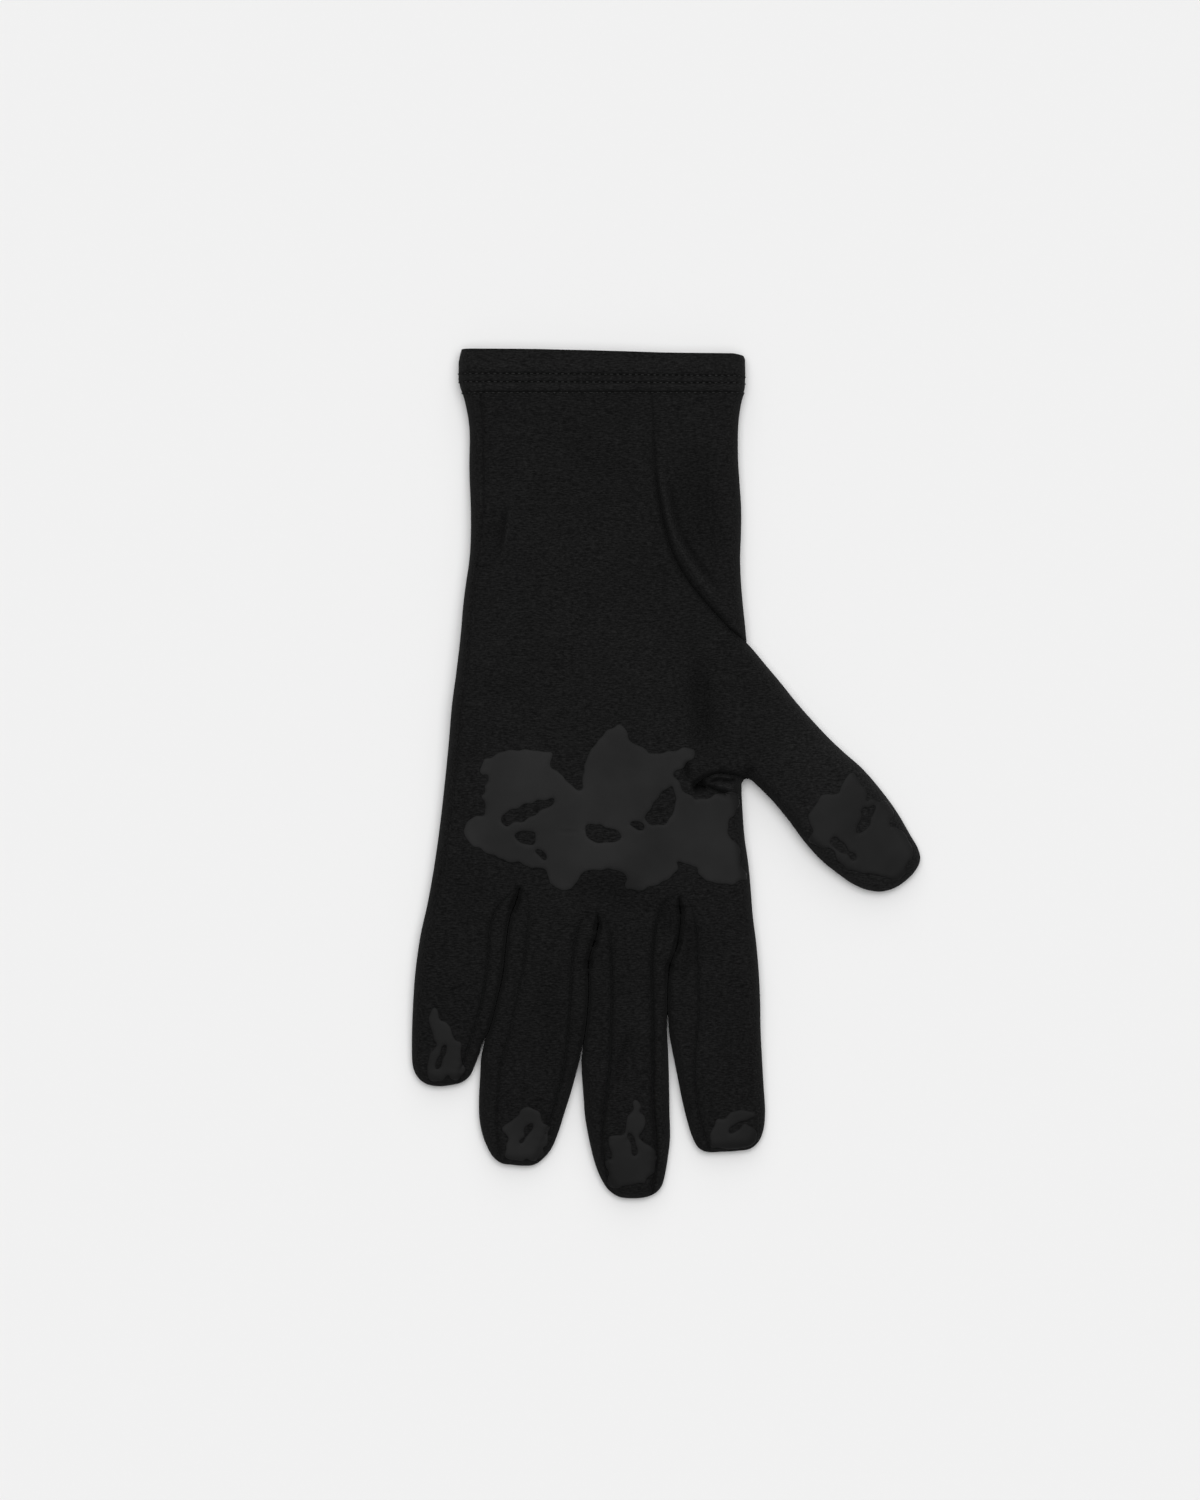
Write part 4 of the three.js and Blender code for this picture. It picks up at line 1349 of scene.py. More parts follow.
@dataclass(frozen=True)
class ThreadFinish:
    """Black sewing thread with a twist.

    Attributes:
        name: The material's name.
        grey: Its mean colour, as a linear grey.
        twist: The size of its plies.
        ply_depth: Their depth.
    """

    name: str = "sewing_thread"
    grey: float = 0.019
    twist: float = 0.35 * MM
    ply_depth: float = 0.05 * MM

    def material(self) -> Material:
        """Makes the material.

        Returns:
            The material, with its nodes laid out.
        """
        n = Nodes(self.name)
        plies = n.noise(self.twist, 1.0)
        colour = n.ramp(plies, ((0.35, self.grey * 0.7), (0.65, self.grey * 1.4)))
        n.feed(n.shader.inputs["Base Color"], colour)
        n.bump(plies, self.ply_depth, 0.5)
        n.feed(n.shader.inputs["Roughness"], 0.9)
        n.feed(n.shader.inputs["Specular IOR Level"], 0.0)
        return n.material


@dataclass(frozen=True)
class FloorFinish:
    """The pale paper that the glove lies on.

    Attributes:
        name: The material's name.
        grey: Its mean colour, as a linear grey.
        tooth: The size of its grain.
        mottle: How far its colour strays, as a share.
    """

    name: str = "pale_paper"
    grey: float = 0.8
    tooth: float = 1.5 * MM
    mottle: float = 0.002

    def material(self) -> Material:
        """Makes the material.

        Returns:
            The material, with its nodes laid out.
        """
        n = Nodes(self.name)
        low, high = self.grey * (1 - self.mottle), self.grey * (1 + self.mottle)
        shade = n.ramp(n.noise(self.tooth), ((0.2, low), (0.8, high)))
        n.feed(n.shader.inputs["Base Color"], shade)
        n.feed(n.shader.inputs["Roughness"], 1.0)
        n.feed(n.shader.inputs["Specular IOR Level"], 0.0)
        return n.material


@dataclass
class Shell:
    """The sewn cloth panels of the hand and the cuff.

    Attributes:
        drape: The surface that they follow.
        wall: The thickness of the cloth.
        grid: The distance between free points on the palm side and on the back.
        grid_room: How close points of the grid may come, as a share of that.
        edge_rows: Steps from the edge in to where the cloth has turned over.
        edge_clear: The share of its own depth that a row's point keeps from the whole edge.
        edge_room: How close points of those rows may come: shares of the edge's spacing and of
            the row's depth.
        edge_gap: How near to the edge a free point may lie.
        seam_rows: How far from a seam the rows beside it run.
        seam_room: How close points of those rows may come: the most, and a share of the row's
            distance from the seam.
        narrow: A crease that reaches less far than this gets such rows too.
        dip_spacing: The distance between points along such a crease.
        aside: How far from a fork's line the seeds of its strips lie, in pixels.
        allowance: How much wider a panel is cut than it lies, on each side.
        spare: How much wider the cut is than its area asks, where that is more than its box.
        least_share: The least share of its box that a panel's cut fills.
        panels: The nodes of the two large panels.
        names: The nodes of all the panels.
    """

    drape: Drape
    wall: float = 1.1 * MM
    grid: dict[Side, float] = field(
        default_factory=lambda: {Side.PALM: 1.05 * MM, Side.BACK: 1.7 * MM}
    )
    grid_room: float = 0.62
    edge_rows: dict[Side, int] = field(default_factory=lambda: {Side.PALM: 8, Side.BACK: 6})
    edge_clear: float = 0.97
    edge_room: tuple[float, float] = (0.55, 0.6)
    edge_gap: float = 0.05 * MM
    seam_rows: tuple[float, ...] = (0.14 * MM, 0.34 * MM, 0.65 * MM, 1.1 * MM, 1.7 * MM)
    seam_room: tuple[float, float] = (0.5 * MM, 0.7)
    # aside: How far from a fork's line the seeds of its strips are, in pixels.
    narrow: float = 2 * MM
    dip_spacing: float = 0.6 * MM
    aside: float = 8.0
    allowance: float = 4 * MM
    spare: float = 1.02
    least_share: float = 0.3
    panels: tuple[str, str] = ("palm_panel", "back_panel")
    names: tuple[str, ...] = (*panels, *(fork.name for fork in FORKS), "thumb_quirk")

    def seeds(self, side: Side) -> list[tuple[str, Array]]:
        """Picks a place inside each region of one side.

        Args:
            side: The side.

        Returns:
            The name of each region's panel, and a plan point in it.
        """
        if side is Side.PALM:
            places = [("palm_panel", 600, 700), ("back_panel", 476, 450), ("back_panel", 700, 450)]
        else:
            places = [("back_panel", 600, 700)]
        for fork in FORKS:
            x, y, _ = fork.contact[-3]
            places += [(fork.name, x - self.aside, y), (fork.name, x + self.aside, y)]
        places.append(("thumb_quirk", 728, 785))
        return [(name, PHOTO.plan([(x, y)])[0]) for name, x, y in places]

    def free_points(self, side: Side) -> tuple[Array, Array]:
        """Rows beside the edge and the seams, and a grid between them.

        Args:
            side: The side that they are for.

        Returns:
            The points in order of weight, and how close each may come to another.
        """
        drape, grid = self.drape, self.grid[side]
        steps = self.edge_rows[side]
        parts, least = [], []
        normals = left_normals(drape.edge)
        for k in range(1, steps + 1):
            depth = drape.edges.held * (1 - math.cos(k / steps * math.pi / 2))
            row = drape.edge + normals * depth[:, None]
            apart = drape.edges.distance(row) > self.edge_clear * depth
            parts.append(row[apart])
            most, share = self.edge_room
            least.append(np.minimum(most * drape.edge_spacing, share * depth[apart]))
        narrow = [each.path for each in CREASES if side is Side.PALM and each.reach < self.narrow]
        dips = [spline(PHOTO.plan(each), self.dip_spacing) for each in narrow]
        for line in [*drape.lines[side], *dips]:
            across = left_normals(line)
            for away in self.seam_rows:
                for sign in (-1, 1):
                    row = line + across * sign * away
                    parts.append(row)
                    most, share = self.seam_room
                    least.append(np.full(len(row), min(most, share * away)))
        low, high = drape.loop.min(0), drape.loop.max(0)
        hexes = hex_grid(low, high, grid)
        parts.append(hexes)
        least.append(np.full(len(hexes), self.grid_room * grid))
        points, spacing = np.vstack(parts), np.concatenate(least)
        keep = inside(points, drape.loop)
        keep[keep] = drape.edges.distance(points[keep]) > self.edge_gap
        return points[keep], spacing[keep]

    def build(self) -> dict[str, Piece]:
        """Returns:
            The panels by the names of the nodes that they stand for.
        """
        skins: dict[str, list[tuple[Array, Array, Array]]] = {name: [] for name in self.names}
        for side in Side:
            free, spacing = self.free_points(side)
            net = PlanNet([self.drape.loop], self.drape.lines[side], free, spacing)
            height = self.drape.height(net.points, side)
            space = np.column_stack([self.drape.pressed(net.points), height])
            # The painted shade and highlight that the cloth's colour is multiplied by.
            nap = self.drape.nap(net.points, side)
            for name, triangles in net.regions(self.seeds(side)).items():
                facing = triangles if side is Side.PALM else triangles[:, ::-1]
                skins[name].append((space, facing, nap))
            LOG.info("%s side: %d triangles", side.value, len(net.triangles))
        return {name: self.panel(name, parts) for name, parts in skins.items()}

    def panel(self, name: str, parts: list[tuple[Array, Array, Array]]) -> Piece:
        """Joins a panel's two sides and gives it its thickness.

        Args:
            name: The node that it stands for.
            parts: Points, triangles and painted light of the palm side and the back.

        Returns:
            The panel.
        """
        shifts = np.cumsum([0] + [len(part[0]) for part in parts[:-1]])
        faces = np.vstack([part[1] + shift for part, shift in zip(parts, shifts)])
        every = np.vstack([part[0] for part in parts])
        used, faces = compact(every, faces)
        points = every[used]
        area = skin_area(points, faces)
        made = mesh_object(f"{name}_cloth", points, faces)
        keep_painted_light(made, np.concatenate([part[2] for part in parts])[used])
        wall = made.modifiers.new("wall", "SOLIDIFY")
        wall.thickness, wall.offset, wall.use_rim = self.wall, -1, True
        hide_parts(name)
        wide, long, _ = (points.max(0) - points.min(0) + 2 * self.allowance).tolist()
        share = area / (wide * long)
        if share > 1:
            wide *= share * self.spare
        area = max(area, self.least_share * wide * long)
        LOG.info("%s: cut %.0f x %.0f mm, %.0f cm2", made.name, wide / MM, long / MM, area / CM2)
        return made

    def dress(self, panels: dict[str, Piece], cloth: JerseyFinish) -> None:
        """Gives the panels their cloth.

        Args:
            panels: The panels by the names of their nodes.
            cloth: The cloth's finish.
        """
        material = cloth.material()
        for name, panel in panels.items():
            panel.data.materials.append(material)
            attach(panel, BODY)


@dataclass
class Stitching:
    """Rows of stitches, laid along paths by a node tree.

    Attributes:
        name: The piece's name.
        pitch: The distance from one stitch to the next.
        length: How long a stitch is.
        thickness: How thick it is.
        jitter: How far single stitches stray from their size, as a share.
        seed: The seed of that straying.
        facets: The segments and rings of one stitch.
    """

    name: str
    pitch: float = 1.9 * MM
    length: float = 1.1 * MM
    thickness: float = 0.5 * MM
    jitter: float = 0.12
    seed: int = 3
    facets: tuple[int, int] = (8, 5)

    def tree(self) -> bpy.types.NodeTree:
        """Builds a tree that sets stitches along the edges of a mesh.

        Returns:
            The tree.
        """
        tree = bpy.data.node_groups.new(f"{self.name}_rows", "GeometryNodeTree")
        face = tree.interface
        face.new_socket("Paths", in_out="INPUT", socket_type="NodeSocketGeometry")
        for label in ("Pitch", "Length", "Thickness", "Jitter"):
            face.new_socket(label, in_out="INPUT", socket_type="NodeSocketFloat")
        face.new_socket("Seed", in_out="INPUT", socket_type="NodeSocketInt")
        face.new_socket("Thread", in_out="INPUT", socket_type="NodeSocketMaterial")
        face.new_socket("Stitches", in_out="OUTPUT", socket_type="NodeSocketGeometry")

        def node(kind: str, **links: object) -> bpy.types.Node:
            """Adds a node.

            Args:
                kind: The node's type.
                **links: Values, or the sockets that feed them, by input, with _ for a space.

            Returns:
                The node.
            """
            made = tree.nodes.new(kind)
            for key, value in links.items():
                socket = made.inputs[key.replace("_", " ")]
                if isinstance(value, Socket):
                    tree.links.new(value, socket)
                else:
                    socket.default_value = value
            return made

        given = node("NodeGroupInput").outputs
        curve = node("GeometryNodeMeshToCurve", Mesh=given["Paths"])
        even = node("GeometryNodeResampleCurve", Curve=curve.outputs[0])
        even.mode = "LENGTH"
        tree.links.new(given["Pitch"], even.inputs["Length"])
        along = node("GeometryNodeInputTangent")
        turn = node("FunctionNodeAlignRotationToVector", Vector=along.outputs[0])
        turn.axis = "X"
        stray = node("FunctionNodeRandomValue", Seed=given["Seed"])
        limits = (s for s in stray.inputs if s.type == "VALUE" and s.name in ("Min", "Max"))
        for operation, limit in zip(("SUBTRACT", "ADD"), limits):
            step = node("ShaderNodeMath")
            step.operation = operation
            step.inputs[0].default_value = 1
            tree.links.new(given["Jitter"], step.inputs[1])
            tree.links.new(step.outputs[0], limit)
        thick = given["Thickness"]
        size = node("ShaderNodeCombineXYZ", X=given["Length"], Y=thick, Z=thick)
        scaled = node("ShaderNodeVectorMath")
        scaled.operation = "SCALE"
        tree.links.new(size.outputs[0], scaled.inputs[0])
        factor = next(s for s in stray.outputs if s.type == "VALUE")
        tree.links.new(factor, scaled.inputs["Scale"])
        segments, rings = self.facets
        bead = node("GeometryNodeMeshUVSphere", Segments=segments, Rings=rings, Radius=0.5)
        laid = node(
            "GeometryNodeInstanceOnPoints", Points=even.outputs[0], Instance=bead.outputs[0],
            Rotation=turn.outputs[0], Scale=scaled.outputs[0],
        )
        real = node("GeometryNodeRealizeInstances", Geometry=laid.outputs[0])
        smooth = node("GeometryNodeSetShadeSmooth", Geometry=real.outputs[0])
        dyed = node("GeometryNodeSetMaterial", Geometry=smooth.outputs[0], Material=given["Thread"])
        node("NodeGroupOutput", Stitches=dyed.outputs[0])
        return tree

    def build(self, paths: Iterable[Array], thread: Material) -> Piece:
        """Lays the stitches and turns them into a plain mesh.

        Args:
            paths: Points in space that the rows follow.
            thread: The thread's material.

        Returns:
            The stitches, as one object.
        """
        points, edges = [], []
        for path in paths:
            edges += [(len(points) + i, len(points) + i + 1) for i in range(len(path) - 1)]
            points += path.tolist()
        mesh = bpy.data.meshes.new(self.name)
        mesh.from_pydata(points, edges, [])
        made = bpy.data.objects.new(self.name, mesh)
        bpy.context.scene.collection.objects.link(made)
        modifier = made.modifiers.new("stitches", "NODES")
        modifier.node_group = self.tree()
        values = {
            "Pitch": self.pitch, "Length": self.length, "Thickness": self.thickness,
            "Jitter": self.jitter, "Seed": self.seed, "Thread": thread,
        }
        for item in modifier.node_group.interface.items_tree:
            if item.in_out == "INPUT" and item.name in values:
                modifier[item.identifier] = values[item.name]
        depsgraph = bpy.context.evaluated_depsgraph_get()
        plain = bpy.data.meshes.new_from_object(made.evaluated_get(depsgraph))
        made.modifiers.clear()
        made.data = plain
        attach(made, BODY)
        LOG.info("%s: %d faces", self.name, len(plain.polygons))
        return made


@dataclass
class Hem:
    """The turned hem round the wrist's opening, with its two rows of cover stitch.

    Attributes:
        drape: The surface that it goes on from.
        foot: Its lower edge, as a pixel row.
        tops: Its upper edge in pixels, from left to right.
        lefts: Its left edge: the share of its depth, and the pixel column.
        rights: Its right edge in the same way.
        profile: How far its face stands out, up its outside and down its inside: the share of
            its depth, and millimetres over the cuff's face.
        rows: The shares of its depth at which the stitches run.
        stitch_lift: How high those stitches sit in their grooves, in millimetres.
        ledge: Where a row of stitches runs under its foot, as in the profile.
        groove_shade: How much painted shade darkens its colour for each millimetre down into a groove.
        shades: The least and the most that its colour is multiplied by for painted shade and highlight.
        face: How far its face stands out where its colour is painted neither darker nor lighter, in
            millimetres.
        cut: How far it runs round the wrist, and its depth once folded.
        width: About how wide it lies.
        depth: About how deep it lies.
        spacing: The distance between points round it.
        profile_spacing: The distance between points of its profile.
        turn_points: How many points its turned edges have.
        inner_turn: The least turn of its inner face.
        pucker: The rise of the small waves that the stitches draw in.
        pucker_wave: Those waves, as uneven_wave takes them.
        pucker_reach: How far from a row they are felt, as a share of its depth.
    """

    drape: Drape
    foot: float = 393.2
    tops: Pixels = ((458, 349.4), (535, 350), (590, 351.2), (660, 353.4), (733, 354.2), (746, 356.6))
    lefts: Pixels = ((0, 462.4), (0.12, 460.4), (0.3, 458.6), (0.7, 458.8), (0.88, 460.4), (1, 461.8))
    rights: Pixels = ((0, 743.6), (0.15, 744.8), (0.5, 745.2), (0.9, 745), (1, 743.4))
    profile: Sequence[tuple[float, float]] = (
        (0.004, -1.3), (0, -0.4), (0.008, 0.25), (0.035, 0.66), (0.09, 0.86), (0.17, 0.82),
        (0.218, 0.5), (0.235, -0.15), (0.252, 0.5), (0.3, 0.74), (0.36, 0.74), (0.408, 0.5),
        (0.425, -0.15), (0.442, 0.5), (0.5, 0.78), (0.6, 0.86), (0.78, 0.86), (0.9, 0.74),
        (0.962, 0.42), (0.992, -0.1), (1, -0.6), (0.985, -1.05), (0.94, -1.3), (0.7, -1.35),
        (0.35, -1.35), (0.06, -1.3), (0.012, -1.2),
    )
    rows: tuple[float, float] = (0.235, 0.425)
    stitch_lift: float = 0.72
    ledge: tuple[float, float] = (-0.012, 0.1)
    groove_shade: float = 0.42
    shades: tuple[float, float] = (0.35, 1.1)
    face: float = 0.75
    cut: tuple[float, float] = (182 * MM, 14 * MM)
    width: float = 84 * MM
    depth: float = 13.4 * MM
    spacing: float = 0.9 * MM
    profile_spacing: float = 0.3 * MM
    turn_points: int = 8
    inner_turn: float = 1.6 * MM
    pucker: float = 0.06 * MM
    pucker_wave: tuple[float, float, float] = (1.55, 1.3, 0.37)
    pucker_reach: float = 0.07

    def across(self) -> tuple[Array, Array]:
        """Lays out places round the hem.

        Returns:
            How far across it each place is, from 0 at its left to 1, and 1 for a place on top or
            -1 for one below.
        """
        angles = np.linspace(0, math.pi / 2, self.turn_points)
        turned = self.drape.turn * (1 - np.cos(angles)) / self.width
        level = np.linspace(turned[-1], 1 - turned[-1], round(self.width / self.spacing))[1:-1]
        top = np.concatenate([turned, level, 1 - turned[::-1]])
        below = top[-2:0:-1]
        return np.concatenate([top, below]), np.concatenate([np.ones(len(top)), -np.ones(len(below))])

    def ring(self, up: float, out: float, across: Array, side: Array) -> Array:
        """The points round the hem at one row of its profile.

        Args:
            up: The share of its depth.
            out: How far it stands out from the cuff's face.
            across: Places across it, from 0 to 1.
            side: 1 for points on top and -1 for those below.

        Returns:
            Points in space.
        """
        left = np.interp(up, *zip(*self.lefts))
        right = np.interp(up, *zip(*self.rights))
        inset = max(-out, 0.0) / PHOTO.scale
        x = left + inset + (right - left - 2 * inset) * across
        top = np.interp(x, *zip(*self.tops))
        plan = PHOTO.plan(np.column_stack([x, self.foot + (top - self.foot) * up]))
        beside = PHOTO.plan(np.column_stack([x, np.full(len(x), self.foot)]))
        gap = np.minimum(across, 1 - across) * (right - left - 2 * inset) * PHOTO.scale
        rise = self.drape.rise(gap, max(self.drape.turn - max(-out, 0), self.inner_turn))
        rim = self.drape.rim(beside)
        full = self.drape.loft(beside) + self.drape.ripple(beside) + out - rim
        waves = self.pucker * uneven_wave(plan[:, 0], *self.pucker_wave)
        near = sum(math.exp(-(((up - row) / self.pucker_reach) ** 2)) for row in self.rows)
        high = rim + (full + waves * near) * rise
        low = rim * (1 - rise) + max(-out, 0.0) * rise
        return np.column_stack([plan, np.where(side > 0, high, low)])

    def build(self, cloth: Material) -> Piece:
        """Makes the hem as one closed skin.

        Args:
            cloth: Its cloth.

        Returns:
            The hem.
        """
        across, side = self.across()
        table = np.array(self.profile) * [self.depth, MM]
        smooth = spline(table, self.profile_spacing, closed=True)[:-1]
        rings = [self.ring(up / self.depth, out, across, side) for up, out in smooth]
        count = len(across)
        # Painted shade down in the grooves and under the foot, painted highlight where the face stands
        # out further, and painted sheen along both ends.
        depths = self.face - smooth[:, 1] / MM
        shades = np.clip(1 - self.groove_shade * depths, *self.shades)
        beside = np.minimum(across, 1 - across) * (self.rights[0][1] - self.lefts[0][1]) * PHOTO.scale
        rims = 1 + self.drape.painted_rim_sheen * np.exp(-beside / self.drape.painted_rim_sheen_reach)
        faces = []
        for r in range(len(rings)):
            here, there = r * count, (r + 1) % len(rings) * count
            for i in range(count):
                j = (i + 1) % count
                faces.append((here + i, there + i, there + j, here + j))
        made = mesh_object("cuff_hem_cloth", np.vstack(rings), faces)
        made.data.materials.append(cloth)
        keep_painted_light(made, np.concatenate([shade * rims for shade in shades]))
        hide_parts("cuff_hem")
        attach(made, BODY)
        around, deep = self.cut
        LOG.info("%s: %.0f x %.0f mm once folded", made.name, around / MM, deep / MM)
        return made

    def stitch_rows(self) -> list[Array]:
        """Lays out the lines that the cover stitches follow, over the hem's palm side.

        Returns:
            The rows in the grooves, and the one under the hem's foot, as points in space.
        """
        across, side = self.across()
        across = across[side > 0]
        outs = dict(self.profile)
        top = np.ones(len(across))
        sewn = [self.ring(row, (outs[row] + self.stitch_lift) * MM, across, top) for row in self.rows]
        return [*sewn, self.ring(self.ledge[0], self.ledge[1] * MM, across, top)]


@dataclass(frozen=True)
class Blotch:
    """One patch of grip print, of a generic camouflage: wavy ovals that run together.

    Each oval has its middle and its half axes in pixels, and its turn in degrees.

    Attributes:
        node: The node that it stands for.
        lobes: The ovals that make it.
        bays: The ovals of cloth that are left out of them.
    """

    node: str
    lobes: Sequence[tuple[float, float, float, float, float]]
    bays: Sequence[tuple[float, float, float, float, float]]


BLOTCHES = (
    Blotch(
        "grip_palm",
        ((542, 800, 66, 33, -14), (632, 786, 58, 37, -28), (598, 842, 68, 28, -10),
         (692, 834, 50, 31, -34), (490, 830, 28, 16, 12), (515, 764, 34, 14, 12),
         (612, 748, 17, 22, -38), (666, 764, 30, 13, 24), (716, 812, 26, 18, 38),
         (512, 850, 34, 12, -24), (566, 872, 20, 16, 30), (648, 874, 28, 14, 10),
         (720, 868, 24, 16, -20)),
        ((568, 770, 22, 9, -54), (526, 812, 26, 7, 22), (662, 808, 11, 22, -34),
         (602, 834, 19, 8, -10), (703, 792, 6, 12, -40)),
    ),
    Blotch(
        "grip_thumb",
        ((838, 822, 33, 20, -38), (868, 848, 35, 27, -30), (850, 797, 14, 22, -14),
         (890, 850, 19, 28, 24), (824, 838, 16, 10, -30), (880, 814, 12, 16, 20)),
        ((864, 822, 5, 15, -30), (842, 848, 14, 4, -40)),
    ),
    Blotch(
        "grip_pinky",
        ((440, 1030, 9, 20, 12), (449, 1052, 12, 16, -25), (438, 1066, 12, 13, 0),
         (455, 1069, 9, 11, 20)),
        ((442, 1056, 3, 8, -20),),
    ),
    Blotch(
        "grip_ring",
        ((531, 1119, 16, 10, -32), (518, 1132, 14, 13, 30), (536, 1140, 12, 15, 10),
         (521, 1150, 18, 9, -8)),
        ((526, 1135, 3, 8, -30),),
    ),
    Blotch(
        "grip_middle",
        ((634, 1124, 9, 21, -14), (624, 1148, 16, 16, 20), (641, 1160, 15, 19, 24),
         (622, 1174, 18, 12, -12)),
        ((633, 1144, 3, 9, 12),),
    ),
    Blotch(
        "grip_index",
        ((738, 1119, 16, 9, 24), (724, 1132, 16, 12, -12), (744, 1134, 12, 12, 0),
         (733, 1142, 18, 6, 0)),
        ((735, 1126, 7, 3, 30),),
    ),
)


class Corner(Enum):
    """The sides of a grid's cell, as steps to the grid point and the way that hold a crossing."""

    BOTTOM = (0, 0, "x")
    RIGHT = (1, 0, "y")
    TOP = (0, 1, "x")
    LEFT = (0, 0, "y")


# How a zero line crosses a cell, with the positive corners on its left. Corners count 1, 2, 4 and 8
# round the cell from the one with the least x and y.
CROSSINGS = {
    1: ((Corner.BOTTOM, Corner.LEFT),), 2: ((Corner.RIGHT, Corner.BOTTOM),),
    3: ((Corner.RIGHT, Corner.LEFT),), 4: ((Corner.TOP, Corner.RIGHT),),
    5: ((Corner.BOTTOM, Corner.LEFT), (Corner.TOP, Corner.RIGHT)), 6: ((Corner.TOP, Corner.BOTTOM),),
    7: ((Corner.TOP, Corner.LEFT),), 8: ((Corner.LEFT, Corner.TOP),), 9: ((Corner.BOTTOM, Corner.TOP),),
    10: ((Corner.RIGHT, Corner.BOTTOM), (Corner.LEFT, Corner.TOP)), 11: ((Corner.RIGHT, Corner.TOP),),
    12: ((Corner.LEFT, Corner.RIGHT),), 13: ((Corner.BOTTOM, Corner.RIGHT),),
    14: ((Corner.LEFT, Corner.BOTTOM),),
}


def zero_lines(xs: Array, ys: Array, values: Array) -> list[Array]:
    """Traces the closed lines along which a field is zero.

    Args:
        xs: The grid's columns.
        ys: Its rows.
        values: The field, a row for each x and a column for each y, negative all round its rim.

    Returns:
        The lines, the one that encloses most first, with the positive side on their left.
    """
    above = values > 0
    code = above[:-1, :-1] + 2 * above[1:, :-1] + 4 * above[1:, 1:] + 8 * above[:-1, 1:]
    after = {}
    for i, j in np.argwhere((code > 0) & (code < 15)).tolist():
        for start, end in CROSSINGS[int(code[i, j])]:
            keys = [(i + di, j + dj, way) for di, dj, way in (start.value, end.value)]
            after[keys[0]] = keys[1]

    def place(key: tuple[int, int, str]) -> tuple[float, float]:
        """Finds where the field is zero on one side of a cell.

        Args:
            key: The grid point that the side starts from, and the way it runs.

        Returns:
            The plan point.
        """
        i, j, way = key
        k, m = (i + 1, j) if way == "x" else (i, j + 1)
        share = values[i, j] / (values[i, j] - values[k, m])
        return xs[i] + share * (xs[k] - xs[i]), ys[j] + share * (ys[m] - ys[j])

    lines = []
    while after:
        first = next(iter(after))
        keys = [first]
        while (following := after.pop(keys[-1])) != first:
            keys.append(following)
        lines.append(np.array([place(key) for key in keys]))
    return sorted(lines, key=enclosed, reverse=True)


def enclosed(loop: Array) -> float:
    """The area inside a closed loop, negative where it runs clockwise."""
    following = np.roll(loop, -1, axis=0)
    return float((loop[:, 0] * following[:, 1] - following[:, 0] * loop[:, 1]).sum() / 2)


